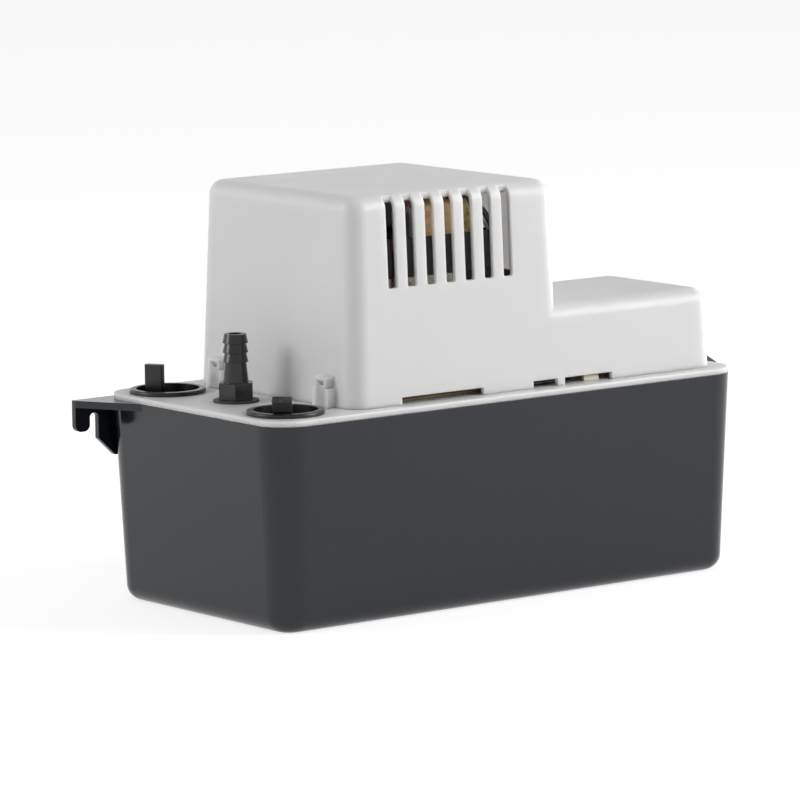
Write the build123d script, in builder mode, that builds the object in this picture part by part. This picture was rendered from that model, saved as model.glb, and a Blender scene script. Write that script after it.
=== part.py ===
"""Condensate pump: a vented cover and a motor on a tank that hangs from a wall by two ears.

Millimetres, +Z up.  The origin is on the floor under the middle of the tank, +X runs along
the tank towards the low part of the cover, and +Y points at the wall behind it.
"""
import os
from math import atan2, cos, degrees, hypot, pi, radians, sin, tan

from build123d import *

os.makedirs("parts", exist_ok=True)

# ---------------------------------------------------------------- clearances
RUN_GAP = 0.05  # radial gap of a shaft in its bearing
SLIP_GAP = 0.2  # radial gap of a piece that drops into a hole
EDGE_GAP = 0.4  # gap between two mouldings that sit inside one another
MOVE_GAP = 1.2  # least gap round a piece that moves through an opening
CUT_PAST = 1.0  # how far a cutting shape runs past the face it cuts
SAME_HEIGHT = 0.01  # corners nearer than this in height belong to one edge

# ---------------------------------------------------------------- tank
TANK_LENGTH = 250.0
TANK_WIDTH = 127.0
TANK_HEIGHT = 87.0
TANK_CORNER = 14.0  # plan radius at the rim
TANK_FOOT_CORNER = 11.0  # plan radius at the floor
TANK_END_DRAFT = 4.1  # how far an end wall leans in between rim and floor
TANK_SIDE_DRAFT = 3.6
TANK_WALL = 2.6
TANK_BASE_FILLET = 7.0

# hanging ears, measured outward from the end of the rim and down from the rim
EAR_REACH = 15.0
EAR_PLATE = 2.5  # thickness of the plate against the wall
EAR_FINGER = 7.4  # width of the outer finger
EAR_FINGER_ROUND = 0.4  # radius of its end, as a share of its width
EAR_FINGER_DROP = 13.6
EAR_SLOT = 4.3  # width of the hanging slot
EAR_SLOT_ROUND = 0.45  # radius of its arch, as a share of its width
EAR_SLOT_TOP = 6.0  # how far the arch of the slot lies below the rim
EAR_WEB_DROP = 17.2
EAR_ROOT_DROP = 25.0
EAR_ROOT_REACH = 5.0  # where the lower edge of the web meets the tank
EAR_GUSSET = 30.0  # how far the gusset runs forward along the end wall
EAR_GUSSET_THICK = 3.0
EAR_OVERLAP = 14.0  # how far the plate reaches in along the back wall

# ---------------------------------------------------------------- deck
DECK_THICK = 2.5
DECK_EDGE_FILLET = 0.7
SKIRT_DEPTH = 5.0
SKIRT_WALL = 1.8

# ---------------------------------------------------------------- inlets and plugs
INLET_BORE = 28.6
INLET_END_INSET = 19.7  # from the end of the rim to the axis
INLET_SIDE_INSET = 21.5  # from the side of the rim to each axis
PLUG_RING = 32.4
PLUG_RING_HEIGHT = 1.8
PLUG_RING_ROUND = 0.45  # radius of its edges, as a share of its height
PLUG_MOUTH = 27.0
PLUG_WALL = 1.1
PLUG_DEPTH = 9.0
PLUG_FLOOR = 1.6
PLUG_TAB_WIDTH = 8.2
PLUG_TAB_THICK = 3.6
PLUG_TAB_ROUND = 0.9
PLUG_TAB_LENGTH = 19.2
PLUG_TAB_OFFSET = 5.6  # from the plug's axis to the foot of the tab
PLUG_TAB_LEAN = 35.0  # degrees, on the plug whose tab is pulled over
BACK_TAB_FOOT = 135.0  # degrees round the plug at which the tab stands
BACK_TAB_FACE = 212.0  # degrees, the way that the tab faces
FRONT_TAB_FOOT = 230.0
FRONT_TAB_FACE = 228.0

# ---------------------------------------------------------------- discharge
DISCHARGE_END_INSET = 25.0
HEX_FLATS = 14.0
HEX_HEIGHT = 7.4
HEX_CHAMFER = 0.4
WASHER_DIAMETER = 19.4
WASHER_THICK = 0.8
BARB_LENGTH = 20.4
BARB_CREST = 10.8
BARB_NECK = 9.0
BARB_TIP = 9.2
BARB_COUNT = 3
BARB_PITCH = 4.0
BARB_STEM = 8.6  # from the hexagon up to the lowest crest
HEX_TURN = 52.0  # degrees
BARB_BORE = 5.6
SHANK_DIAMETER = 13.0
SHANK_LENGTH = 12.0
SHANK_BITE = 1.0  # how far the shank runs up into the hexagon

# ---------------------------------------------------------------- cover
COVER_WALL = 2.2
COVER_END_INSET = 44.5  # from the end of the rim to the tall end wall
COVER_FAR_INSET = 9.0  # from the other end of the rim to the low end wall
COVER_SIDE_INSET = 7.2  # from the side of the rim to the long walls
COVER_HEIGHT = 88.0  # top of the tall part above the deck
TALL_LENGTH = 113.0
LOW_HEIGHT = 34.6
LOW_WIDTH = 70.3
COVER_CORNER = 8.0
COVER_END_LEAN = 0.028  # draft of the end walls, as a slope
COVER_SIDE_LEAN = 0.046  # draft of the long walls, as a slope
COVER_TOP_FILLET = 6.5
VENT_COUNT = 7
VENT_PITCH = 10.2
VENT_WIDTH = 5.0
VENT_BOTTOM = 48.8  # above the deck
VENT_MIDDLE = 53.4  # from the tall end wall to the middle slot
VENT_CORNER = 1.0
VENT_WRAP = 2.9  # how far a slot runs in over the rounded top edge
NOTCH_HEIGHT = 3.1
NOTCH_LENGTH = 43.4
NOTCH_FIRST = 25.0  # from the tall end wall to the first notch
NOTCH_SECOND = 95.2
NOTCH_POST = 13.4  # from the start of the second notch to its post
NOTCH_POST_WIDTH = 3.8
LATCH_WIDTH = 10.4
LATCH_DEPTH = 4.0
LATCH_HEIGHT = 8.0
LATCH_HEAD_WIDTH = 7.2
LATCH_HEAD_HEIGHT = 4.8
LATCH_SPREAD = 37.8
FAR_LATCH_SIDE = -6.0
LATCH_SKIN = 0.9  # wall left in front of the hook
LATCH_WINDOW = 1.8
LATCH_WINDOW_RISE = 9.4
HOOK_WIDTH = 4.6
HOOK_THICK = 1.3
HOOK_NOSE = 0.8

# ---------------------------------------------------------------- cord bushing
BUSHING_SIDE = -30.0  # Y of its axis
BUSHING_RISE = 5.3  # axis above the deck
BUSHING_FLANGE = 4.2  # radius
BUSHING_FLANGE_THICK = 1.2
BUSHING_BODY = 2.9  # radius
BUSHING_TIP = 2.2  # radius
BUSHING_BORE = 1.4  # radius
BUSHING_RUN = 2.0  # straight run before it bends down
BUSHING_BEND = 13.8  # radius of the bend
BUSHING_DROOP = 14.5
BUSHING_ANGLE = 32.0

# ---------------------------------------------------------------- motor
SHAFT_END_INSET = 97.0  # from the end of the rim to the motor axis
SHAFT_DIAMETER = 6.35
STACK_LENGTH = 58.0
STACK_FRONT_GAP = 18.3  # from the front of the cover to the coil end of the stack
STACK_BACK_GAP = 17.3  # from the back of the cover to the other end
SHAFT_SHARE = 26 / 77  # motor axis from the back of the stack, as a share of its depth
STACK_HEIGHT = 20.0
STACK_DROP = 38.5  # underside of the stack below the top of the cover
STACK_LIMB = 11.0
WINDOW_SHARE = 1 / 7  # width of the window behind the coil leg, as a share of the depth
LEG_SHARE = 2 / 11  # width of the coil leg
BORE_SHARE = 3 / 7  # diameter of the bore
AIR_GAP = 0.4
ROTOR_OVERHANG = 1.0
COIL_WRAP = 8.5  # thickness of the winding in front of the leg and behind it
COIL_RISE = 11.5  # thickness above and below
COIL_CORNER = 6.0
BOBBIN_WALL = 1.0
BOBBIN_FLANGE = 1.5
STRAP_THICK = 1.5
STRAP_HEIGHT = 16.0
LOWER_STRAP_HEIGHT = 3.8
STRAP_RISE = 3.0  # above the underside of the stack
STRAP_BACK = 29.0  # how far its arms run back along the stack
MOTOR_SCREW = 4.0
SCREW_HEAD = 7.5
SCREW_HEAD_HEIGHT = 2.6
SCREW_HEAD_ROUND = 0.4  # radius of the head's edge, as a share of its height
SCREW_BITE = 12.0  # how far a motor screw runs into its post
BRACKET_THICK = 2.5
BRACKET_FOOT = 2.5  # height of the feet that lift a bracket clear of the rotor
BRACKET_WIDTH = 20.0
BEARING_DIAMETER = 12.0
BEARING_LENGTH = 6.5
BEARING_SHELL = 2.5
POST_DIAMETER = 9.0
RING_WIRE = 2.0
RING_REACH = 6.0  # from the bore to the outer slot of a ring
RING_ANGLE = 40.0  # degrees
FAN_DIAMETER = 50.0
FAN_HUB = 12.0
FAN_HUB_HEIGHT = 5.2
FAN_PLATE = 1.4
FAN_HEIGHT = 6.2
FAN_RISE = 15.0  # top of the fan above the stack
FAN_BLADES = 10
FAN_BLADE = 1.2  # thickness
FAN_BLADE_LENGTH = 13.0
FAN_BLADE_MIDDLE = 17.5  # radius of the middle of a blade
FAN_BLADE_TURN = 28.0  # degrees off the radius
SLINGER_DIAMETER = 17.0
SLINGER_THICK = 2.0

# ---------------------------------------------------------------- pump
PUMP_CLEARANCE = 3.4  # underside of the pump above the tank floor
VOLUTE_RADIUS = 29.0
VOLUTE_CAVITY = 24.0
VOLUTE_WALL = 3.0
VOLUTE_DEPTH = 10.0
VOLUTE_COVER_THICK = 3.0
EYE_DIAMETER = 15.0
PORT_WIDTH = 8.0
PORT_OFFSET = 19.0
FOOT_DIAMETER = 6.0
FOOT_COUNT = 3
FOOT_TURN = 30.0  # degrees from +X to the first foot
VOLUTE_SCREW_CIRCLE = 53.0
VOLUTE_SCREW_ANGLES = (20, 90, 160, 300)
IMPELLER_DIAMETER = 37.0
IMPELLER_HUB = 11.0
IMPELLER_GAP = 1.0  # above the volute cover
VANE_SWEEP = -0.9  # radians that a vane trails between hub and edge
IMPELLER_VANES = 6
VANE_BELLY = 0.4  # share of the sweep that is done halfway out
VANE_ROOT = 0.5  # how far a vane starts inside the hub
VANE_TIP_GAP = 0.3  # from its tip to the edge of the impeller
IMPELLER_VANE = 1.6
IMPELLER_SHROUD = 1.8
IMPELLER_VANE_HEIGHT = 5.2
COLUMN_DIAMETER = 19.0
COLUMN_BORE = 13.0
DRAIN_RISE = 8.0
DRAIN_HEIGHT = 16.0
DRAIN_WIDTH = 6.0
DRAIN_CORNER = 1.8
COLUMN_FLANGE = 34.0
COLUMN_FLANGE_THICK = 3.0
COLUMN_SCREWS = 3
COLUMN_SCREW_CIRCLE = 26.0
COLLAR_HEIGHT = 6.0
COLLAR_WALL = 1.6
VALVE_DIAMETER = 20.0
VALVE_LENGTH = 32.0
VALVE_CHAMFER = 1.5
BALL_DIAMETER = 9.0
SEAT_BORE = 6.5
SHANK_ROOM = 1.0  # room under the shank of the fitting
BALL_GAP = 0.3  # at rest, between the ball and the edge of its seat
VALVE_SEAT_RISE = 8.0  # seat above the bottom of the valve body
HOSE_BORE = 9.0
HOSE_WALL = 1.6
SOCKET_HEIGHT = 9.0
SMALL_SCREW = 3.0
SMALL_HEAD = 5.6
SMALL_HEAD_HEIGHT = 1.8
SMALL_PILOT_STOP = 1.0  # solid left over a pilot hole

# ---------------------------------------------------------------- float and switches
PIVOT_END_INSET = 50.0  # from the far end of the rim to the float pivot
PIVOT_DROP = 9.0  # pivot below the underside of the deck
PIN_DIAMETER = 3.0
PIN_HEAD_RIM = 1.0  # how far the head stands out round the pin
PIN_HEAD_THICK = 1.2
ARM_WIDTH = 6.0
ARM_THICK = 3.0
ARM_PAD = 16.0
ARM_LENGTH = 62.0  # from the pivot to the middle of the float
FLOAT_DIAMETER = 42.0
FLOAT_HEIGHT = 26.0
FLOAT_DROP = 34.0  # middle of the float below the pivot
FLOAT_FILLET = 4.0
FINGER_RISE = 23.0  # nose of the finger above the pivot
FINGER_NOSE = 1.5  # radius
FINGER_SLACK = 1.0  # spare length of its opening, each way
FLOAT_SWING = 8.0  # largest upward swing, degrees
FLOAT_SIDE = -21.0  # Y of the float and its switches
LUG_THICK = 3.0
LUG_RADIUS = 4.0
LUG_FLARE = 2.0  # how much wider a lug is where it leaves the deck, each way
HUB_STEP = 0.5  # from the lug's radius in to the hub of the arm
FINGER_STEP = 1.0  # from the hub's radius in to the foot of the finger
FINGER_RIM = 2.5  # height of the rim round the finger's opening
SWITCH_LENGTH = 27.8
SWITCH_WIDTH = 10.3
SWITCH_HEIGHT = 15.9
SWITCH_GAP = 1.5
SWITCH_CHAMFER = 0.6
SWITCH_EAR_ROOT = 1.0  # how far the lever's ears run into the switch and past their pin
LEVER_THICK = 0.8
LEVER_REACH = 16.0  # from the lever's pin down to the nose
LEVER_TAIL = 3.0
LEVER_SPLAY = 12.0  # degrees off the face of the switch
LEVER_STANDOFF = 1.4
LEVER_GAP = 0.5
LEVER_PIN = 1.6
LEVER_WIDTH = 4.6
SWITCH_PIN_DROP = 2.4  # lever pin below the top of the switch
SWITCH_HOLE_PITCH = 22.2
SWITCH_HOLE_INSET = 3.0
TERMINAL_COUNT = 3
TERMINAL_PITCH = 8.8
TERMINAL_WIDTH = 4.8
TERMINAL_THICK = 0.8
TERMINAL_LENGTH = 7.0
BRACKET_SHEET = 1.5
BRACKET_MARGIN = 3.0

# ---------------------------------------------------------------- insulation and wiring
BARRIER_THICK = 0.8
BARRIER_HEIGHT = 47.5
BARRIER_INSET = 8.5  # from the outside of the tall end wall back to the upright sheet
BARRIER_HALF = 47.0
BARRIER_NEAR = 8.0  # from the near wall of the cover to the edge of the floor sheet
BARRIER_DOOR_WIDTH = 22.0
BARRIER_DOOR_HEIGHT = 9.0
BARRIER_DOOR_RISE = 3.2  # above the deck
BLOCK_LENGTH = 24.0
BLOCK_WIDTH = 11.0
BLOCK_HEIGHT = 12.0
BLOCK_WALL = 1.0  # round a terminal's well, along the block
BLOCK_RIM = 2.0  # across the block
BLOCK_WELL = 4.0  # depth
BLOCK_INSET = 30.0  # from the front wall of the cover to the middle of the block
BLOCK_PAST_TALL = 22.0  # from the tall end wall to the middle of the block
BLOCK_WAYS = 3
CONNECTOR_DIAMETER = 8.0
CONNECTOR_TIP = 5.6  # diameter of its closed end
CONNECTOR_LENGTH = 15.0
CONNECTOR_PAST_TALL = 24.5
CONNECTOR_INSET = 8.0
CLIP_LENGTH = 8.0
CLIP_RADIUS = 5.0
CLIP_WALL = 1.6
CLIP_PAST_TALL = 16.5

# ================================================================ places
rim = TANK_HEIGHT
deck_top = rim + DECK_THICK
near_end = -TANK_LENGTH / 2
far_end = TANK_LENGTH / 2
back_face = TANK_WIDTH / 2
plug_x = near_end + INLET_END_INSET
plug_side = TANK_WIDTH / 2 - INLET_SIDE_INSET
discharge_x = near_end + DISCHARGE_END_INSET
cover_near = near_end + COVER_END_INSET
cover_far = far_end - COVER_FAR_INSET
cover_half = TANK_WIDTH / 2 - COVER_SIDE_INSET
tall_far = cover_near + TALL_LENGTH
low_back = LOW_WIDTH - cover_half
shaft_x = near_end + SHAFT_END_INSET
stack_rise = COVER_HEIGHT - STACK_DROP
stack_bottom = deck_top + stack_rise
stack_top = stack_bottom + STACK_HEIGHT
stack_front = STACK_FRONT_GAP - cover_half
stack_back = cover_half - STACK_BACK_GAP
stack_depth = stack_back - stack_front
shaft_y = stack_back - SHAFT_SHARE * stack_depth
stator_bore = BORE_SHARE * stack_depth
rotor_diameter = stator_bore - 2 * AIR_GAP
stack_window = WINDOW_SHARE * stack_depth
stack_leg = LEG_SHARE * stack_depth
leg_y = stack_front + stack_leg / 2
leg_z = (stack_bottom + stack_top) / 2
window_length = STACK_LENGTH - 2 * STACK_LIMB
limb_x = (STACK_LENGTH - STACK_LIMB) / 2
fan_top = stack_top + FAN_RISE
floor = TANK_WALL
pump_bottom = floor + PUMP_CLEARANCE
volute_bottom = pump_bottom + VOLUTE_COVER_THICK
volute_roof = volute_bottom + VOLUTE_DEPTH
volute_top = volute_roof + VOLUTE_WALL
valve_bottom = rim - VALVE_LENGTH
pivot_x = far_end - PIVOT_END_INSET
pivot_z = rim - PIVOT_DROP
float_swing = radians(FLOAT_SWING)
nose_z = pivot_z + FINGER_RISE
raised_nose_z = pivot_z + FINGER_RISE * cos(float_swing)
nose_travel = FINGER_RISE * sin(float_swing)
lever_pin_z = raised_nose_z + LEVER_REACH
splay = radians(LEVER_SPLAY)
# the switch face stands where the splayed lever leaves its gap to the nose when the float is up
nose_clear = (FINGER_NOSE + LEVER_GAP + LEVER_THICK / 2) / cos(splay)
nose_offset = nose_travel + nose_clear + LEVER_REACH * tan(splay)
lever_pin_x = pivot_x + nose_offset
switch_x = lever_pin_x + LEVER_STANDOFF
front_screws = [(shaft_x + side * limb_x, leg_y) for side in (-1, 1)]
back_screws = [(shaft_x + side * limb_x, shaft_y) for side in (-1, 1)]


def finish(builder, label):
    """Label a finished piece and write its STEP file."""
    builder.part.label = label
    export_step(builder.part, f"parts/{label}.step")


# ================================================================ tank
def tank_loft_sizes(height):
    """Length, width and corner radius of the tank's outside at a height above the floor."""
    share = 1 - height / TANK_HEIGHT
    return (
        TANK_LENGTH - 2 * TANK_END_DRAFT * share,
        TANK_WIDTH - 2 * TANK_SIDE_DRAFT * share,
        TANK_CORNER + (TANK_FOOT_CORNER - TANK_CORNER) * share,
    )


foot_length, foot_width, foot_corner = tank_loft_sizes(0)
base_length, base_width, base_corner = tank_loft_sizes(TANK_WALL)
ear_tip = near_end - EAR_REACH
slot_outer = ear_tip + EAR_FINGER
slot_inner = slot_outer + EAR_SLOT
slot_top = rim - EAR_SLOT_TOP
finger_bottom = rim - EAR_FINGER_DROP
web_corner = near_end + EAR_ROOT_REACH
plate_end = near_end + EAR_OVERLAP

with BuildPart() as tank:
    with BuildSketch(Plane.XY):
        RectangleRounded(foot_length, foot_width, foot_corner)
    with BuildSketch(Plane.XY.offset(rim)):
        RectangleRounded(TANK_LENGTH, TANK_WIDTH, TANK_CORNER)
    loft()
    fillet(tank.edges().group_by(Axis.Z)[0], TANK_BASE_FILLET)
    # hanging ear: a plate in the plane of the wall, open at the bottom between finger and web
    with BuildSketch(Plane.XZ.offset(-back_face)) as ear_outline:
        with BuildLine():
            Polyline(
                (ear_tip, rim),
                (ear_tip, finger_bottom),
                (slot_outer, finger_bottom),
                (slot_outer, slot_top),
                (slot_inner, slot_top),
                (slot_inner, rim - EAR_WEB_DROP),
                (web_corner, rim - EAR_ROOT_DROP),
                (plate_end, rim - EAR_ROOT_DROP),
                (plate_end, rim),
                close=True,
            )
        make_face()
        slot_corners = [v for v in ear_outline.vertices() if abs(v.Y - slot_top) < SAME_HEIGHT]
        fillet(slot_corners, EAR_SLOT * EAR_SLOT_ROUND)
        finger_corners = [v for v in ear_outline.vertices() if abs(v.Y - finger_bottom) < SAME_HEIGHT]
        fillet(finger_corners, EAR_FINGER * EAR_FINGER_ROUND)
    ear_plate = extrude(amount=EAR_PLATE)
    with BuildSketch(Plane.XY.offset(rim - EAR_GUSSET_THICK)):
        with BuildLine():
            Polyline(
                (ear_tip, back_face),
                (ear_tip, back_face - EAR_PLATE),
                (near_end, back_face - EAR_GUSSET),
                (near_end + TANK_WALL, back_face - EAR_GUSSET),
                (plate_end, back_face - EAR_PLATE),
                (plate_end, back_face),
                close=True,
            )
        make_face()
    ear_gusset = extrude(amount=EAR_GUSSET_THICK)
    mirror(ear_plate, about=Plane.YZ)
    mirror(ear_gusset, about=Plane.YZ)
    # hollow
    with BuildSketch(Plane.XY.offset(TANK_WALL)):
        RectangleRounded(base_length - 2 * TANK_WALL, base_width - 2 * TANK_WALL, base_corner - TANK_WALL)
    with BuildSketch(Plane.XY.offset(rim)):
        RectangleRounded(TANK_LENGTH - 2 * TANK_WALL, TANK_WIDTH - 2 * TANK_WALL, TANK_CORNER - TANK_WALL)
    loft(mode=Mode.SUBTRACT)
    hollow_floor = tank.faces().filter_by(Plane.XY).sort_by(Axis.Z)[1]
    fillet(hollow_floor.edges(), TANK_BASE_FILLET - TANK_WALL)
finish(tank, "tank")


# ================================================================ deck
deck_swing = (deck_top + FINGER_RIM - pivot_z) * sin(radians(FLOAT_SWING))
finger_slot_length = 2 * (deck_swing + FINGER_NOSE + FINGER_SLACK + MOVE_GAP)
finger_slot_width = 2 * SWITCH_WIDTH + SWITCH_GAP + 2 * MOVE_GAP
skirt_inset = TANK_WALL + EDGE_GAP + TANK_END_DRAFT * SKIRT_DEPTH / TANK_HEIGHT
skirt_length = TANK_LENGTH - 2 * skirt_inset
skirt_width = TANK_WIDTH - 2 * skirt_inset
skirt_corner = TANK_CORNER - skirt_inset
front_post_height = stack_rise
back_post_height = stack_rise - BRACKET_FOOT - BRACKET_THICK
pilot = MOTOR_SCREW / 2 + RUN_GAP
lug_spots = [
    (cover_near, -1, -LATCH_SPREAD),
    (cover_near, -1, LATCH_SPREAD),
    (cover_far, 1, FAR_LATCH_SIDE),
]

with BuildPart() as deck:
    with BuildSketch(Plane.XY.offset(rim)):
        RectangleRounded(TANK_LENGTH, TANK_WIDTH, TANK_CORNER)
    extrude(amount=DECK_THICK)
    fillet(deck.edges().group_by(Axis.Z)[-1], DECK_EDGE_FILLET)
    # skirt that drops inside the rim of the tank
    with BuildSketch(Plane.XY.offset(rim)):
        RectangleRounded(skirt_length, skirt_width, skirt_corner)
        RectangleRounded(
            skirt_length - 2 * SKIRT_WALL, skirt_width - 2 * SKIRT_WALL, skirt_corner - SKIRT_WALL,
            mode=Mode.SUBTRACT,
        )
    extrude(amount=-SKIRT_DEPTH)
    # motor posts
    with BuildSketch(Plane.XY.offset(deck_top)):
        with Locations(*front_screws):
            Circle(POST_DIAMETER / 2)
    extrude(amount=front_post_height)
    with BuildSketch(Plane.XY.offset(deck_top)):
        with Locations(*back_screws):
            Circle(POST_DIAMETER / 2)
    extrude(amount=back_post_height)
    # collar round the shaft
    with BuildSketch(Plane.XY.offset(deck_top)):
        with Locations((shaft_x, shaft_y)):
            Circle(COLUMN_BORE / 2 + COLLAR_WALL)
    extrude(amount=COLLAR_HEIGHT)
    # rim round the opening for the float finger
    with BuildSketch(Plane.XY.offset(deck_top)):
        with Locations((pivot_x, FLOAT_SIDE)):
            Rectangle(finger_slot_length + 2 * COLLAR_WALL, finger_slot_width + 2 * COLLAR_WALL)
    extrude(amount=FINGER_RIM)
    # hinge lugs for the float arm
    with BuildSketch(Plane.XZ.offset(-FLOAT_SIDE)):
        with BuildLine():
            Polyline(
                (pivot_x - LUG_RADIUS - LUG_FLARE, rim),
                (pivot_x - LUG_RADIUS, pivot_z),
                (pivot_x + LUG_RADIUS, pivot_z),
                (pivot_x + LUG_RADIUS + LUG_FLARE, rim),
                close=True,
            )
        make_face()
        with Locations((pivot_x, pivot_z)):
            Circle(LUG_RADIUS)
            Circle(PIN_DIAMETER / 2 + RUN_GAP, mode=Mode.SUBTRACT)
    extrude(amount=ARM_WIDTH / 2 + EDGE_GAP + LUG_THICK, both=True)
    with Locations((pivot_x, FLOAT_SIDE, pivot_z)):
        Box(4 * LUG_RADIUS, ARM_WIDTH + 2 * EDGE_GAP, 2 * PIVOT_DROP, mode=Mode.SUBTRACT)
    # openings
    with BuildSketch(Plane.XY.offset(deck_top)):
        with Locations((pivot_x, FLOAT_SIDE)):
            Rectangle(finger_slot_length, finger_slot_width)
    extrude(amount=FINGER_RIM, mode=Mode.SUBTRACT)
    with BuildSketch(Plane.XY.offset(rim)):
        with Locations((pivot_x, FLOAT_SIDE)):
            Rectangle(finger_slot_length, ARM_WIDTH + 2 * MOVE_GAP)
        with Locations((plug_x, -plug_side), (plug_x, plug_side)):
            Circle(INLET_BORE / 2)
        with Locations((discharge_x, 0)):
            Circle(SHANK_DIAMETER / 2 + SLIP_GAP)
        with Locations((shaft_x, shaft_y)):
            Circle(COLUMN_BORE / 2)
            with PolarLocations(COLUMN_SCREW_CIRCLE / 2, COLUMN_SCREWS, 90):
                Circle(SMALL_SCREW / 2 + RUN_GAP)
    extrude(amount=DECK_THICK + COLLAR_HEIGHT, mode=Mode.SUBTRACT)
    with BuildSketch(Plane.XY.offset(stack_bottom)):
        with Locations(*front_screws, *back_screws):
            Circle(pilot)
    extrude(amount=CUT_PAST - stack_rise, mode=Mode.SUBTRACT)
    # hooks that hold the cover
    for wall_x, way, side in lug_spots:
        hook_face = wall_x + way * (LATCH_DEPTH - LATCH_SKIN - EDGE_GAP - HOOK_NOSE)
        post_x = hook_face - way * HOOK_THICK / 2
        nose_x = hook_face + way * HOOK_NOSE / 2
        with BuildSketch(Plane.XY.offset(deck_top)):
            with Locations((post_x, side)):
                Rectangle(HOOK_THICK, HOOK_WIDTH)
        extrude(amount=LATCH_WINDOW_RISE + LATCH_WINDOW - EDGE_GAP)
        with BuildSketch(Plane.XY.offset(deck_top + LATCH_WINDOW_RISE + EDGE_GAP)):
            with Locations((nose_x, side)):
                Rectangle(HOOK_NOSE, HOOK_WIDTH)
        extrude(amount=LATCH_WINDOW - 2 * EDGE_GAP)
finish(deck, "deck")


# ================================================================ cover
def cover_block(near, far, front, back, height, inset):
    """One drafted block of the cover with its top edges rounded, drawn in by the inset."""
    base_z = deck_top
    top_z = deck_top + height - inset
    end_lean = COVER_END_LEAN * (top_z - base_z)
    side_lean = COVER_SIDE_LEAN * (top_z - base_z)
    middle = ((near + far) / 2, (front + back) / 2)
    length = far - near - 2 * inset
    width = back - front - 2 * inset
    corner = COVER_CORNER - inset
    with BuildPart() as block:
        with BuildSketch(Plane.XY.offset(base_z)):
            with Locations(middle):
                RectangleRounded(length, width, corner)
        with BuildSketch(Plane.XY.offset(top_z)):
            with Locations(middle):
                RectangleRounded(length - 2 * end_lean, width - 2 * side_lean, corner)
        loft()
        fillet(block.edges().group_by(Axis.Z)[-1], COVER_TOP_FILLET - inset)
    return block.part


def cover_form(inset):
    """The tall block over the motor joined to the low block over the switches."""
    low_near = cover_near + TALL_LENGTH / 2
    with BuildPart() as form:
        add(cover_block(cover_near, tall_far, -cover_half, cover_half, COVER_HEIGHT, inset))
        add(cover_block(low_near, cover_far, -cover_half, low_back, LOW_HEIGHT, inset))
    return form.part


outer_form = cover_form(0)
inner_form = cover_form(COVER_WALL)
vent_x = cover_near + VENT_MIDDLE
vent_bottom_z = deck_top + VENT_BOTTOM
vent_height = COVER_HEIGHT - VENT_BOTTOM + 2 * VENT_WIDTH
front_at_top = cover_half - COVER_SIDE_LEAN * COVER_HEIGHT
notch_boxes = [
    (cover_near + NOTCH_FIRST, NOTCH_LENGTH),
    (cover_near + NOTCH_SECOND, NOTCH_POST),
    (
        cover_near + NOTCH_SECOND + NOTCH_POST + NOTCH_POST_WIDTH,
        NOTCH_LENGTH - NOTCH_POST - NOTCH_POST_WIDTH,
    ),
]

with BuildPart() as motor_cover:
    add(outer_form)
    # lugs over the deck hooks
    for wall_x, way, side in lug_spots:
        lug_x = wall_x + way * (LATCH_DEPTH - COVER_WALL) / 2
        with BuildSketch(Plane.XY.offset(deck_top)):
            with Locations((lug_x, side)):
                Rectangle(LATCH_DEPTH + COVER_WALL, LATCH_WIDTH)
        extrude(amount=LATCH_HEIGHT)
        with BuildSketch(Plane.XY.offset(deck_top + LATCH_HEIGHT)):
            with Locations((lug_x, side)):
                Rectangle(LATCH_DEPTH + COVER_WALL, LATCH_HEAD_WIDTH)
        extrude(amount=LATCH_HEAD_HEIGHT)
    add(inner_form, mode=Mode.SUBTRACT)
    for wall_x, way, side in lug_spots:
        pocket_depth = LATCH_DEPTH - LATCH_SKIN
        pocket_x = wall_x + way * pocket_depth / 2
        pocket_width = HOOK_WIDTH + 2 * EDGE_GAP
        with BuildSketch(Plane.XY.offset(deck_top)):
            with Locations((pocket_x, side)):
                Rectangle(pocket_depth, pocket_width)
        extrude(amount=LATCH_WINDOW_RISE + LATCH_WINDOW, mode=Mode.SUBTRACT)
        with BuildSketch(Plane.XY.offset(deck_top + LATCH_WINDOW_RISE)):
            with Locations((wall_x + way * LATCH_DEPTH, side)):
                Rectangle(2 * LATCH_SKIN + EDGE_GAP, pocket_width)
        extrude(amount=LATCH_WINDOW, mode=Mode.SUBTRACT)
    # vents that wrap over the rounded top edge, on both long sides
    with BuildSketch(Plane.XZ.offset(cover_half + CUT_PAST)):
        with Locations((vent_x, vent_bottom_z + vent_height / 2)):
            with GridLocations(VENT_PITCH, 0, VENT_COUNT, 1):
                RectangleRounded(VENT_WIDTH, vent_height, VENT_CORNER)
    vent_reach = cover_half + CUT_PAST - front_at_top + VENT_WRAP
    vents = extrude(amount=-vent_reach, mode=Mode.SUBTRACT)
    mirror(vents, about=Plane.XZ, mode=Mode.SUBTRACT)
    # notches along the lower edge of the front
    for notch_x, notch_length in notch_boxes:
        with BuildSketch(Plane.XZ.offset(cover_half + CUT_PAST)):
            with Locations((notch_x + notch_length / 2, deck_top)):
                Rectangle(notch_length, 2 * NOTCH_HEIGHT)
        extrude(amount=-(2 * COVER_WALL + CUT_PAST), mode=Mode.SUBTRACT)
    # hole for the cord bushing
    with BuildSketch(Plane.YZ.offset(cover_far + CUT_PAST)):
        with Locations((BUSHING_SIDE, deck_top + BUSHING_RISE)):
            Circle(BUSHING_BODY + RUN_GAP)
    extrude(amount=-(2 * COVER_WALL + CUT_PAST), mode=Mode.SUBTRACT)
finish(motor_cover, "motor_cover")


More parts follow.
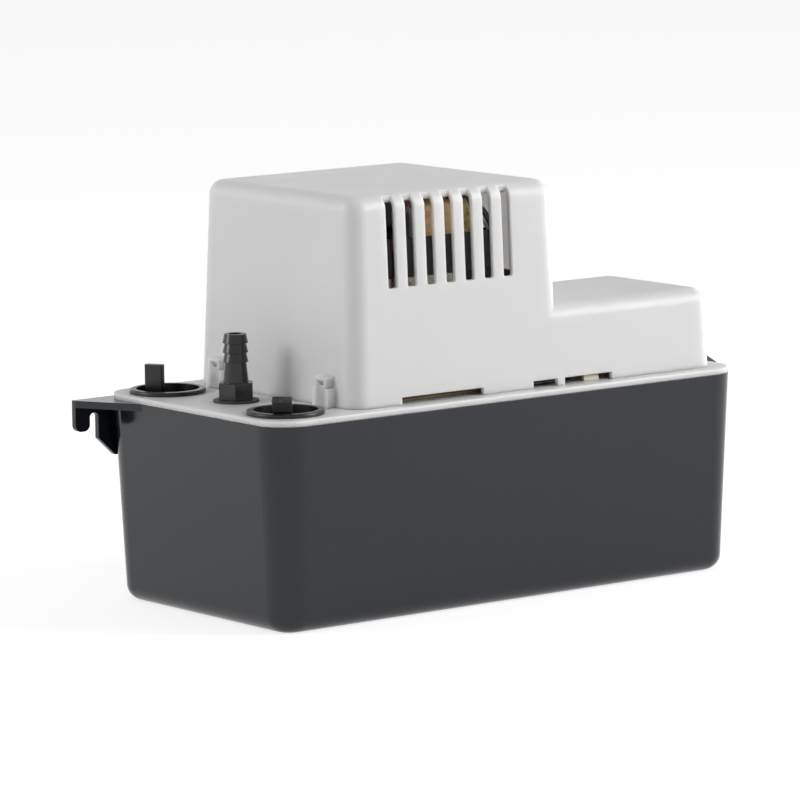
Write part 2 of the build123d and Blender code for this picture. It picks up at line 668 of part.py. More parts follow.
# ================================================================ inlet plugs
def inlet_plug(side, foot_angle, face_angle, lean):
    """A cup that closes an inlet, with a pull tab on its floor that faces and leans one way."""
    axis = (plug_x, side * plug_side)
    cup_radius = INLET_BORE / 2 - SLIP_GAP
    cup_bottom = deck_top - PLUG_DEPTH
    with BuildPart() as plug:
        with BuildSketch(Plane.XY.offset(cup_bottom)):
            with Locations(axis):
                Circle(cup_radius)
        extrude(amount=PLUG_DEPTH)
        with BuildSketch(Plane.XY.offset(deck_top)):
            with Locations(axis):
                Circle(PLUG_RING / 2)
        extrude(amount=PLUG_RING_HEIGHT)
        fillet(plug.edges().group_by(Axis.Z)[-1], PLUG_RING_HEIGHT * PLUG_RING_ROUND)
        with BuildSketch(Plane.XY.offset(cup_bottom + PLUG_FLOOR)):
            with Locations(axis):
                Circle(cup_radius - PLUG_WALL)
        with BuildSketch(Plane.XY.offset(deck_top + PLUG_RING_HEIGHT)):
            with Locations(axis):
                Circle(PLUG_MOUTH / 2)
        loft(mode=Mode.SUBTRACT)
        foot = radians(foot_angle)
        face = radians(face_angle)
        tip = radians(lean)
        tab_plane = Plane(
            origin=(
                axis[0] + PLUG_TAB_OFFSET * cos(foot),
                axis[1] + PLUG_TAB_OFFSET * sin(foot),
                cup_bottom + PLUG_FLOOR / 2,
            ),
            x_dir=(cos(tip) * cos(face), cos(tip) * sin(face), -sin(tip)),
            z_dir=(sin(tip) * cos(face), sin(tip) * sin(face), cos(tip)),
        )
        with BuildSketch(tab_plane):
            RectangleRounded(PLUG_TAB_THICK, PLUG_TAB_WIDTH, PLUG_TAB_ROUND)
        extrude(amount=PLUG_TAB_LENGTH + PLUG_FLOOR / 2)
    return plug


inlet_plug_back = inlet_plug(1, BACK_TAB_FOOT, BACK_TAB_FACE, 0)
finish(inlet_plug_back, "inlet_plug_back")
inlet_plug_front = inlet_plug(-1, FRONT_TAB_FOOT, FRONT_TAB_FACE, PLUG_TAB_LEAN)
finish(inlet_plug_front, "inlet_plug_front")


# ================================================================ discharge
hex_bottom = deck_top + WASHER_THICK
hex_top = hex_bottom + HEX_HEIGHT
barb_top = hex_top + BARB_LENGTH
shank_bottom = hex_bottom - SHANK_LENGTH
discharge_axis = Axis((discharge_x, 0, 0), (0, 0, 1))

with BuildPart() as discharge_fitting:
    with BuildSketch(Plane.XY.offset(hex_bottom)):
        with Locations((discharge_x, 0)):
            RegularPolygon(HEX_FLATS / 2, 6, major_radius=False, rotation=HEX_TURN)
    extrude(amount=HEX_HEIGHT)
    chamfer(discharge_fitting.edges().group_by(Axis.Z)[-1], HEX_CHAMFER)
    with BuildSketch(Plane.XZ):
        with BuildLine():
            shank_x = discharge_x + SHANK_DIAMETER / 2
            crest_x = discharge_x + BARB_CREST / 2
            neck_x = discharge_x + BARB_NECK / 2
            stem = [(discharge_x, shank_bottom), (shank_x, shank_bottom)]
            stem += [(shank_x, hex_bottom + SHANK_BITE), (crest_x, hex_bottom + SHANK_BITE)]
            stem += [(crest_x, hex_top)]
            for crest in range(BARB_COUNT):
                crest_z = hex_top + BARB_STEM + crest * BARB_PITCH
                stem += [(neck_x, crest_z), (crest_x, crest_z)]
            stem += [(discharge_x + BARB_TIP / 2, barb_top), (discharge_x, barb_top)]
            Polyline(*stem, close=True)
        make_face()
    revolve(axis=discharge_axis)
    with BuildSketch(Plane.XY.offset(shank_bottom)):
        with Locations((discharge_x, 0)):
            Circle(BARB_BORE / 2)
    extrude(amount=barb_top - shank_bottom, mode=Mode.SUBTRACT)
finish(discharge_fitting, "discharge_fitting")

with BuildPart() as fitting_washer:
    with BuildSketch(Plane.XY.offset(deck_top)):
        with Locations((discharge_x, 0)):
            Circle(WASHER_DIAMETER / 2)
            Circle(SHANK_DIAMETER / 2 + SLIP_GAP, mode=Mode.SUBTRACT)
    extrude(amount=WASHER_THICK)
finish(fitting_washer, "fitting_washer")

stub_radius = HOSE_BORE / 2 - RUN_GAP
seat_z = valve_bottom + VALVE_SEAT_RISE
ball_z = seat_z + (BALL_DIAMETER**2 - SEAT_BORE**2) ** 0.5 / 2 + BALL_GAP

with BuildPart() as check_valve_body:
    with BuildSketch(Plane.XY.offset(valve_bottom)):
        with Locations((discharge_x, 0)):
            Circle(VALVE_DIAMETER / 2)
    extrude(amount=VALVE_LENGTH)
    chamfer(check_valve_body.edges().group_by(Axis.Z)[0], VALVE_CHAMFER)
    with BuildSketch(Plane.XY.offset(valve_bottom)):
        with Locations((discharge_x, 0)):
            Circle(stub_radius)
    extrude(amount=-SOCKET_HEIGHT)
    with BuildSketch(Plane.XY.offset(rim)):
        with Locations((discharge_x, 0)):
            Circle(SHANK_DIAMETER / 2 + SLIP_GAP)
    extrude(amount=-(rim - shank_bottom + SHANK_ROOM), mode=Mode.SUBTRACT)
    with BuildSketch(Plane.XY.offset(seat_z)):
        with Locations((discharge_x, 0)):
            Circle(BALL_DIAMETER / 2 + MOVE_GAP)
    extrude(amount=shank_bottom - seat_z, mode=Mode.SUBTRACT)
    with BuildSketch(Plane.XY.offset(seat_z)):
        with Locations((discharge_x, 0)):
            Circle(SEAT_BORE / 2)
    extrude(amount=-(seat_z - valve_bottom + SOCKET_HEIGHT), mode=Mode.SUBTRACT)
finish(check_valve_body, "check_valve_body")

with BuildPart() as check_ball:
    with Locations((discharge_x, 0, ball_z)):
        Sphere(BALL_DIAMETER / 2)
finish(check_ball, "check_ball")

with BuildPart() as discharge_tube:
    with BuildSketch(Plane.XY.offset(volute_top)):
        with Locations((discharge_x, 0)):
            Circle(HOSE_BORE / 2 + HOSE_WALL)
            Circle(HOSE_BORE / 2, mode=Mode.SUBTRACT)
    extrude(amount=valve_bottom - volute_top)
finish(discharge_tube, "discharge_tube")


# ================================================================ cord bushing
bushing_z = deck_top + BUSHING_RISE
bend = radians(BUSHING_ANGLE)
bend_x = cover_far + BUSHING_RUN
bend_end = (bend_x + BUSHING_BEND * sin(bend), bushing_z - BUSHING_BEND * (1 - cos(bend)))
droop_end = (bend_end[0] + BUSHING_DROOP * cos(bend), bend_end[1] - BUSHING_DROOP * sin(bend))
inside_x = cover_far - COVER_WALL - EDGE_GAP - BUSHING_FLANGE_THICK
bushing_plane = Plane.XZ.offset(-BUSHING_SIDE)

with BuildPart() as cord_bushing:
    with BuildLine(bushing_plane) as bushing_path:
        Line((inside_x, bushing_z), (bend_x, bushing_z))
        JernArc((bend_x, bushing_z), (1, 0), BUSHING_BEND, -BUSHING_ANGLE)
        Line(bend_end, droop_end)
    start_plane = Plane(origin=(inside_x, BUSHING_SIDE, bushing_z), z_dir=(1, 0, 0))
    with BuildSketch(start_plane):
        Circle(BUSHING_TIP)
    sweep(path=bushing_path.wires()[0])
    with BuildSketch(start_plane):
        Circle(BUSHING_BODY)
    extrude(amount=bend_x - inside_x)
    for flange_x in (inside_x, cover_far):
        with BuildSketch(Plane(origin=(flange_x, BUSHING_SIDE, bushing_z), z_dir=(1, 0, 0))):
            Circle(BUSHING_FLANGE)
        extrude(amount=BUSHING_FLANGE_THICK)
    with BuildSketch(start_plane):
        Circle(BUSHING_BORE)
    sweep(path=bushing_path.wires()[0], mode=Mode.SUBTRACT)
finish(cord_bushing, "cord_bushing")


# ================================================================ motor
def ring_point(side, reach):
    """A point on the line of a shading ring, at a reach beyond the leg that lies beside the bore."""
    radius = side * (stator_bore / 2 + RING_WIRE / 2 + reach)
    return (
        shaft_x + radius * cos(radians(RING_ANGLE)),
        shaft_y + radius * sin(radians(RING_ANGLE)),
    )


with BuildPart() as stator_stack:
    with BuildSketch(Plane.XY.offset(stack_bottom)):
        with Locations((shaft_x, (stack_front + stack_back) / 2)):
            Rectangle(STACK_LENGTH, stack_back - stack_front)
        with Locations((shaft_x, stack_front + stack_leg + stack_window / 2)):
            Rectangle(window_length, stack_window, mode=Mode.SUBTRACT)
        with Locations((shaft_x, shaft_y)):
            Circle(stator_bore / 2, mode=Mode.SUBTRACT)
        with Locations(*front_screws, *back_screws):
            Circle(MOTOR_SCREW / 2 + RUN_GAP, mode=Mode.SUBTRACT)
    extrude(amount=STACK_HEIGHT)
    chamfer(stator_stack.edges().filter_by(Axis.Z).group_by(Axis.Y)[-1], 4)
    # slots beside the bore for the shading rings, at opposite corners
    for side in (-1, 1):
        with BuildSketch(Plane.XY.offset(stack_bottom)):
            with Locations(ring_point(side, 0), ring_point(side, RING_REACH)):
                Rectangle(RING_WIRE + 2 * RUN_GAP, RING_WIRE + 2 * RUN_GAP, rotation=RING_ANGLE)
        extrude(amount=STACK_HEIGHT, mode=Mode.SUBTRACT)
finish(stator_stack, "stator_stack")

bobbin_length = window_length - 2 * SLIP_GAP
bobbin_depth = stack_leg + 2 * (SLIP_GAP + BOBBIN_WALL)
bobbin_height = STACK_HEIGHT + 2 * (SLIP_GAP + BOBBIN_WALL)
coil_depth = bobbin_depth + 2 * COIL_WRAP
coil_height = bobbin_height + 2 * COIL_RISE
coil_length = bobbin_length - 2 * BOBBIN_FLANGE
leg_plane = Plane.YZ.offset(shaft_x)

with BuildPart() as coil_bobbin:
    with BuildSketch(leg_plane):
        with Locations((leg_y, leg_z)):
            Rectangle(bobbin_depth, bobbin_height)
    extrude(amount=bobbin_length / 2, both=True)
    for side in (-1, 1):
        with BuildSketch(Plane.YZ.offset(shaft_x + side * bobbin_length / 2)):
            with Locations((leg_y, leg_z)):
                RectangleRounded(coil_depth, coil_height, COIL_CORNER)
        extrude(amount=-side * BOBBIN_FLANGE)
    with BuildSketch(leg_plane):
        with Locations((leg_y, leg_z)):
            Rectangle(stack_leg + 2 * SLIP_GAP, STACK_HEIGHT + 2 * SLIP_GAP)
    extrude(amount=bobbin_length, both=True, mode=Mode.SUBTRACT)
finish(coil_bobbin, "coil_bobbin")

with BuildPart() as coil:
    with BuildSketch(leg_plane):
        with Locations((leg_y, leg_z)):
            RectangleRounded(coil_depth - 2 * EDGE_GAP, coil_height - 2 * EDGE_GAP, COIL_CORNER)
            Rectangle(bobbin_depth, bobbin_height, mode=Mode.SUBTRACT)
    extrude(amount=coil_length / 2, both=True)
finish(coil, "coil")


def shading_ring(side):
    """A square copper loop that closes round the pole between its two slots."""
    ring_plane = Plane(
        origin=(*ring_point(side, RING_REACH / 2), leg_z),
        x_dir=(side * cos(radians(RING_ANGLE)), side * sin(radians(RING_ANGLE)), 0),
        z_dir=(side * sin(radians(RING_ANGLE)), -side * cos(radians(RING_ANGLE)), 0),
    )
    with BuildPart() as ring:
        with BuildSketch(ring_plane):
            Rectangle(RING_REACH + RING_WIRE, STACK_HEIGHT + 2 * RING_WIRE)
            Rectangle(RING_REACH - RING_WIRE, STACK_HEIGHT, mode=Mode.SUBTRACT)
        extrude(amount=RING_WIRE / 2, both=True)
    return ring


shading_ring_front = shading_ring(-1)
finish(shading_ring_front, "shading_ring_front")
shading_ring_back = shading_ring(1)
finish(shading_ring_back, "shading_ring_back")

strap_front = leg_y - coil_depth / 2 - EDGE_GAP


def frame_band(bottom, height):
    """A steel band bent round the coil end of the stack, with its arms along the sides."""
    with BuildPart() as band:
        with BuildSketch(Plane.XY.offset(bottom)):
            with Locations((shaft_x, strap_front + (STRAP_BACK - STRAP_THICK) / 2)):
                Rectangle(STACK_LENGTH + 2 * STRAP_THICK, STRAP_BACK + STRAP_THICK)
            with Locations((shaft_x, strap_front + STRAP_BACK / 2)):
                Rectangle(STACK_LENGTH, STRAP_BACK, mode=Mode.SUBTRACT)
        extrude(amount=height)
        fillet(band.edges().filter_by(Axis.Z).group_by(Axis.Y)[0], STRAP_THICK)
    return band


frame_strap = frame_band(stack_bottom + STRAP_RISE, STRAP_HEIGHT)
finish(frame_strap, "frame_strap")
lower_strap = frame_band(stack_bottom + STRAP_RISE - EDGE_GAP - LOWER_STRAP_HEIGHT, LOWER_STRAP_HEIGHT)
finish(lower_strap, "lower_strap")


def bearing_bracket(face_z, way):
    """A bridge over the rotor on two feet, with a shell for the bearing, on one side of the stack."""
    plate_z = face_z + way * BRACKET_FOOT
    with BuildPart() as bracket:
        with BuildSketch(Plane.XY.offset(face_z)):
            with Locations(*back_screws):
                Circle(POST_DIAMETER / 2)
        extrude(amount=way * BRACKET_FOOT)
        with BuildSketch(Plane.XY.offset(plate_z)):
            with Locations((shaft_x, shaft_y)):
                SlotCenterToCenter(2 * limb_x, BRACKET_WIDTH / 2)
                Circle(BRACKET_WIDTH / 2)
        extrude(amount=way * BRACKET_THICK)
        with BuildSketch(Plane.XY.offset(plate_z)):
            with Locations((shaft_x, shaft_y)):
                Circle(BEARING_DIAMETER / 2 + BEARING_SHELL)
        extrude(amount=way * BEARING_LENGTH)
        with BuildSketch(Plane.XY.offset(plate_z)):
            with Locations((shaft_x, shaft_y)):
                Circle(BEARING_DIAMETER / 2 + RUN_GAP)
        extrude(amount=way * BEARING_LENGTH, mode=Mode.SUBTRACT)
        with BuildSketch(Plane.XY.offset(face_z)):
            with Locations(*back_screws):
                Circle(MOTOR_SCREW / 2 + RUN_GAP)
        extrude(amount=way * (BRACKET_FOOT + BRACKET_THICK), mode=Mode.SUBTRACT)
    return bracket


def bearing(face_z, way):
    """A plain sleeve that fills the shell of a bracket."""
    with BuildPart() as sleeve:
        with BuildSketch(Plane.XY.offset(face_z + way * BRACKET_FOOT)):
            with Locations((shaft_x, shaft_y)):
                Circle(BEARING_DIAMETER / 2)
                Circle(SHAFT_DIAMETER / 2 + RUN_GAP, mode=Mode.SUBTRACT)
        extrude(amount=way * BEARING_LENGTH)
    return sleeve


upper_bracket = bearing_bracket(stack_top, 1)
finish(upper_bracket, "upper_bracket")
lower_bracket = bearing_bracket(stack_bottom, -1)
finish(lower_bracket, "lower_bracket")
upper_bearing = bearing(stack_top, 1)
finish(upper_bearing, "upper_bearing")
lower_bearing = bearing(stack_bottom, -1)
finish(lower_bearing, "lower_bearing")


def pan_screw(x, y, head_z, length, diameter, head, head_height, way=1):
    """A pan head screw; its head sits on head_z and its shank runs the other way."""
    with BuildPart() as screw:
        with BuildSketch(Plane.XY.offset(head_z)):
            with Locations((x, y)):
                Circle(head / 2)
        extrude(amount=way * head_height)
        outer = screw.edges().sort_by(Axis.Z)[-1 if way > 0 else 0]
        fillet(outer, head_height * SCREW_HEAD_ROUND)
        with BuildSketch(Plane.XY.offset(head_z)):
            with Locations((x, y)):
                Circle(diameter / 2)
        extrude(amount=-way * length)
    return screw


front_grip = STACK_HEIGHT + SCREW_BITE
back_grip = STACK_HEIGHT + 2 * (BRACKET_FOOT + BRACKET_THICK) + SCREW_BITE
back_head_z = stack_top + BRACKET_FOOT + BRACKET_THICK
for index, (x, y) in enumerate(front_screws, 1):
    screw = pan_screw(x, y, stack_top, front_grip, MOTOR_SCREW, SCREW_HEAD, SCREW_HEAD_HEIGHT)
    finish(screw, f"motor_screw_front_{index}")
for index, (x, y) in enumerate(back_screws, 1):
    screw = pan_screw(x, y, back_head_z, back_grip, MOTOR_SCREW, SCREW_HEAD, SCREW_HEAD_HEIGHT)
    finish(screw, f"motor_screw_back_{index}")

with BuildPart() as rotor_core:
    with BuildSketch(Plane.XY.offset(stack_bottom - ROTOR_OVERHANG)):
        with Locations((shaft_x, shaft_y)):
            Circle(rotor_diameter / 2)
            Circle(SHAFT_DIAMETER / 2 + RUN_GAP, mode=Mode.SUBTRACT)
    extrude(amount=STACK_HEIGHT + 2 * ROTOR_OVERHANG)
finish(rotor_core, "rotor_core")

impeller_bottom = volute_bottom + IMPELLER_GAP
with BuildPart() as motor_shaft:
    with BuildSketch(Plane.XY.offset(impeller_bottom)):
        with Locations((shaft_x, shaft_y)):
            Circle(SHAFT_DIAMETER / 2)
    extrude(amount=fan_top - impeller_bottom)
    chamfer(motor_shaft.edges().group_by(Axis.Z)[-1], 0.5)
finish(motor_shaft, "motor_shaft")

with BuildPart() as cooling_fan:
    with BuildSketch(Plane.XY.offset(fan_top)):
        with Locations((shaft_x, shaft_y)):
            Circle(FAN_DIAMETER / 2)
    extrude(amount=-FAN_PLATE)
    with BuildSketch(Plane.XY.offset(fan_top)):
        with Locations((shaft_x, shaft_y)):
            Circle(FAN_HUB / 2)
    extrude(amount=-FAN_HUB_HEIGHT)
    with BuildSketch(Plane.XY.offset(fan_top - FAN_PLATE)):
        with Locations((shaft_x, shaft_y)):
            with PolarLocations(FAN_BLADE_MIDDLE, FAN_BLADES):
                Rectangle(FAN_BLADE_LENGTH, FAN_BLADE, rotation=FAN_BLADE_TURN)
    extrude(amount=-(FAN_HEIGHT - FAN_PLATE))
    with BuildSketch(Plane.XY.offset(fan_top)):
        with Locations((shaft_x, shaft_y)):
            Circle(SHAFT_DIAMETER / 2 + RUN_GAP)
    extrude(amount=-FAN_HUB_HEIGHT, mode=Mode.SUBTRACT)
finish(cooling_fan, "cooling_fan")

with BuildPart() as water_slinger:
    with BuildSketch(Plane.XY.offset(deck_top + COLLAR_HEIGHT + MOVE_GAP)):
        with Locations((shaft_x, shaft_y)):
            Circle(SLINGER_DIAMETER / 2)
            Circle(SHAFT_DIAMETER / 2 + RUN_GAP, mode=Mode.SUBTRACT)
    extrude(amount=SLINGER_THICK)
finish(water_slinger, "water_slinger")


# ================================================================ pump
tangent_y = shaft_y - PORT_OFFSET
port_middle = ((shaft_x + discharge_x) / 2, tangent_y / 2)
port_length = hypot(shaft_x - discharge_x, tangent_y)
port_turn = degrees(atan2(tangent_y, shaft_x - discharge_x))
port_outer = PORT_WIDTH + 2 * VOLUTE_WALL



def round_shaft(radius, angle):
    """A point at a radius and an angle in degrees round the motor axis."""
    return (shaft_x + radius * cos(radians(angle)), shaft_y + radius * sin(radians(angle)))


volute_screws = [round_shaft(VOLUTE_SCREW_CIRCLE / 2, angle) for angle in VOLUTE_SCREW_ANGLES]
column_screws = [
    round_shaft(COLUMN_SCREW_CIRCLE / 2, 90 + 360 * index / COLUMN_SCREWS)
    for index in range(COLUMN_SCREWS)
]

with BuildPart() as pump_column:
    with BuildSketch(Plane.XY.offset(volute_bottom)):
        with Locations((shaft_x, shaft_y)):
            Circle(VOLUTE_RADIUS)
        with Locations(port_middle):
            SlotCenterToCenter(port_length, port_outer, rotation=port_turn)
    extrude(amount=VOLUTE_DEPTH + VOLUTE_WALL)
    fillet(pump_column.edges().group_by(Axis.Z)[-1], VOLUTE_WALL * 0.5)
    # column up to the deck
    with BuildSketch(Plane.XY.offset(volute_top)):
        with Locations((shaft_x, shaft_y)):
            Circle(COLUMN_DIAMETER / 2)
    extrude(amount=rim - volute_top)
    with BuildSketch(Plane.XY.offset(rim)):
        with Locations((shaft_x, shaft_y)):
            Circle(COLUMN_FLANGE / 2)
    extrude(amount=-COLUMN_FLANGE_THICK)
    # socket for the discharge tube
    with BuildSketch(Plane.XY.offset(volute_top)):
        with Locations((discharge_x, 0)):
            Circle(stub_radius)
    extrude(amount=SOCKET_HEIGHT)
    # chamber, port, socket bore
    with BuildSketch(Plane.XY.offset(volute_bottom)):
        with Locations((shaft_x, shaft_y)):
            Circle(VOLUTE_CAVITY)
        with Locations(port_middle):
            SlotCenterToCenter(port_length, PORT_WIDTH, rotation=port_turn)
    extrude(amount=VOLUTE_DEPTH, mode=Mode.SUBTRACT)
    with BuildSketch(Plane.XY.offset(volute_roof)):
        with Locations((discharge_x, 0)):
            Circle(SEAT_BORE / 2)
    extrude(amount=VOLUTE_WALL + SOCKET_HEIGHT, mode=Mode.SUBTRACT)
    # shaft passage
    with BuildSketch(Plane.XY.offset(volute_roof)):
        with Locations((shaft_x, shaft_y)):
            Circle(SHAFT_DIAMETER / 2 + RUN_GAP)
    extrude(amount=VOLUTE_WALL, mode=Mode.SUBTRACT)
    with BuildSketch(Plane.XY.offset(volute_top)):
        with Locations((shaft_x, shaft_y)):
            Circle(COLUMN_BORE / 2)
    extrude(amount=rim - volute_top, mode=Mode.SUBTRACT)
    # drain windows low in the column
    with BuildSketch(Plane.YZ.offset(shaft_x)):
        with Locations((shaft_y, volute_top + DRAIN_RISE + DRAIN_HEIGHT / 2)):
            RectangleRounded(DRAIN_WIDTH, DRAIN_HEIGHT, DRAIN_CORNER)
    extrude(amount=COLUMN_DIAMETER, both=True, mode=Mode.SUBTRACT)
    # pilot holes
    with BuildSketch(Plane.XY.offset(rim)):
        with Locations((shaft_x, shaft_y)):
            with PolarLocations(COLUMN_SCREW_CIRCLE / 2, COLUMN_SCREWS, 90):
                Circle(SMALL_SCREW / 2 + RUN_GAP)
    extrude(amount=-COLUMN_FLANGE_THICK, mode=Mode.SUBTRACT)
    with BuildSketch(Plane.XY.offset(volute_bottom)):
        with Locations(*volute_screws):
            Circle(SMALL_SCREW / 2 + RUN_GAP)
    extrude(amount=VOLUTE_DEPTH - SMALL_PILOT_STOP, mode=Mode.SUBTRACT)
finish(pump_column, "pump_column")

with BuildPart() as volute_cover:
    with BuildSketch(Plane.XY.offset(pump_bottom)):
        with Locations((shaft_x, shaft_y)):
            Circle(VOLUTE_RADIUS)
        with Locations(port_middle):
            SlotCenterToCenter(port_length, port_outer, rotation=port_turn)
        with Locations((shaft_x, shaft_y)):
            Circle(EYE_DIAMETER / 2, mode=Mode.SUBTRACT)
        with Locations(*volute_screws):
            Circle(SMALL_SCREW / 2 + RUN_GAP, mode=Mode.SUBTRACT)
    extrude(amount=VOLUTE_COVER_THICK)
    # feet on the floor of the tank
    with BuildSketch(Plane.XY.offset(floor)):
        with Locations((shaft_x, shaft_y)):
            with PolarLocations(VOLUTE_CAVITY - FOOT_DIAMETER, FOOT_COUNT, FOOT_TURN):
                Circle(FOOT_DIAMETER / 2)
        with Locations((discharge_x, 0)):
            Circle(FOOT_DIAMETER / 2)
    extrude(amount=PUMP_CLEARANCE)
finish(volute_cover, "volute_cover")

for index, (x, y) in enumerate(volute_screws, 1):
    screw = pan_screw(
        x, y, pump_bottom, VOLUTE_COVER_THICK + VOLUTE_DEPTH - 2 * SMALL_PILOT_STOP,
        SMALL_SCREW, SMALL_HEAD, SMALL_HEAD_HEIGHT, way=-1,
    )
    finish(screw, f"volute_screw_{index}")

for index, (x, y) in enumerate(column_screws, 1):
    screw = pan_screw(
        x, y, deck_top, DECK_THICK + COLUMN_FLANGE_THICK,
        SMALL_SCREW, SMALL_HEAD, SMALL_HEAD_HEIGHT,
    )
    finish(screw, f"column_screw_{index}")

vane_outer = IMPELLER_DIAMETER / 2
vane_middle = (IMPELLER_HUB / 2 + vane_outer) / 2
vane_radii = (IMPELLER_HUB / 2 - VANE_ROOT, vane_middle, vane_outer - VANE_TIP_GAP)
with BuildPart() as impeller:
    with BuildSketch(Plane.XY.offset(impeller_bottom + IMPELLER_VANE_HEIGHT)):
        with Locations((shaft_x, shaft_y)):
            Circle(IMPELLER_DIAMETER / 2)
    extrude(amount=IMPELLER_SHROUD)
    with BuildSketch(Plane.XY.offset(impeller_bottom)):
        with Locations((shaft_x, shaft_y)):
            Circle(IMPELLER_HUB / 2)
    extrude(amount=IMPELLER_VANE_HEIGHT)
    # backward curved vanes: each is a band between two arcs
    for vane in range(IMPELLER_VANES):
        turn = 2 * pi * vane / IMPELLER_VANES
        angles = (turn, turn + VANE_SWEEP * VANE_BELLY, turn + VANE_SWEEP)
        with BuildSketch(Plane.XY.offset(impeller_bottom)):
            with BuildLine():
                for half in (-1, 1):
                    band = [
                        (
                            shaft_x + reach * cos(angle) - half * IMPELLER_VANE / 2 * sin(angle),
                            shaft_y + reach * sin(angle) + half * IMPELLER_VANE / 2 * cos(angle),
                        )
                        for angle, reach in zip(angles, vane_radii)
                    ]
                    ThreePointArc(*band)
                    if half == -1:
                        first = band
                Line(first[0], band[0])
                Line(first[2], band[2])
            make_face()
        extrude(amount=IMPELLER_VANE_HEIGHT)
    with BuildSketch(Plane.XY.offset(impeller_bottom)):
        with Locations((shaft_x, shaft_y)):
            Circle(SHAFT_DIAMETER / 2 + RUN_GAP)
    extrude(amount=IMPELLER_VANE_HEIGHT + IMPELLER_SHROUD, mode=Mode.SUBTRACT)
finish(impeller, "impeller")


# ================================================================ float
float_x = pivot_x - ARM_LENGTH
float_z = pivot_z - FLOAT_DROP
float_top = float_z + FLOAT_HEIGHT / 2
hub_radius = LUG_RADIUS - HUB_STEP
lug_span = ARM_WIDTH + 2 * (EDGE_GAP + LUG_THICK)
switch_span = 2 * SWITCH_WIDTH + SWITCH_GAP

with BuildPart() as float_arm:
    with BuildSketch(Plane.XZ.offset(-FLOAT_SIDE)):
        with Locations((pivot_x, pivot_z)):
            Circle(hub_radius)
        with Locations((float_x + ARM_PAD / 2, float_top + ARM_THICK / 2)):
            Circle(ARM_THICK / 2)
        make_hull()
        with Locations((float_x, float_top + ARM_THICK / 2)):
            Rectangle(ARM_PAD, ARM_THICK)
    extrude(amount=ARM_WIDTH / 2, both=True)
    # finger up through the deck, with a cross bar at the height of the levers
    with BuildSketch(Plane.XZ.offset(-FLOAT_SIDE)):
        with Locations((pivot_x, pivot_z)):
            Circle(hub_radius - FINGER_STEP)
        with Locations((pivot_x, nose_z)):
            Circle(FINGER_NOSE)
        make_hull()
    extrude(amount=ARM_WIDTH / 2, both=True)
    with BuildSketch(Plane.XZ.offset(-FLOAT_SIDE)):
        with Locations((pivot_x, nose_z)):
            Circle(FINGER_NOSE)
    extrude(amount=switch_span / 2, both=True)
    with BuildSketch(Plane.XZ.offset(-FLOAT_SIDE)):
        with Locations((pivot_x, pivot_z)):
            Circle(PIN_DIAMETER / 2 + RUN_GAP)
    extrude(amount=ARM_WIDTH, both=True, mode=Mode.SUBTRACT)
finish(float_arm, "float_arm")

with BuildPart() as float_pin:
    with BuildSketch(Plane.XZ.offset(-FLOAT_SIDE)):
        with Locations((pivot_x, pivot_z)):
            Circle(PIN_DIAMETER / 2)
    extrude(amount=lug_span / 2, both=True)
    with BuildSketch(Plane.XZ.offset(-FLOAT_SIDE + lug_span / 2)):
        with Locations((pivot_x, pivot_z)):
            Circle(PIN_DIAMETER / 2 + PIN_HEAD_RIM)
    extrude(amount=PIN_HEAD_THICK)
finish(float_pin, "float_pin")

with BuildPart() as float_body:
    with BuildSketch(Plane.XY.offset(float_z - FLOAT_HEIGHT / 2)):
        with Locations((float_x, FLOAT_SIDE)):
            Circle(FLOAT_DIAMETER / 2)
    extrude(amount=FLOAT_HEIGHT)
    fillet(float_body.edges().filter_by(GeomType.CIRCLE), FLOAT_FILLET)
finish(float_body, "float_body")


# ================================================================ switches
switch_z = lever_pin_z - SWITCH_LENGTH + SWITCH_PIN_DROP  # underside of a switch
switch_rows = {
    "run": FLOAT_SIDE - (SWITCH_WIDTH + SWITCH_GAP) / 2,
    "safety": FLOAT_SIDE + (SWITCH_WIDTH + SWITCH_GAP) / 2,
}
hole_x = switch_x + SWITCH_HEIGHT - SWITCH_HOLE_INSET
hole_spots = [
    (hole_x, switch_z + SWITCH_LENGTH / 2 + side * SWITCH_HOLE_PITCH / 2)
    for side in (-1, 1)
]


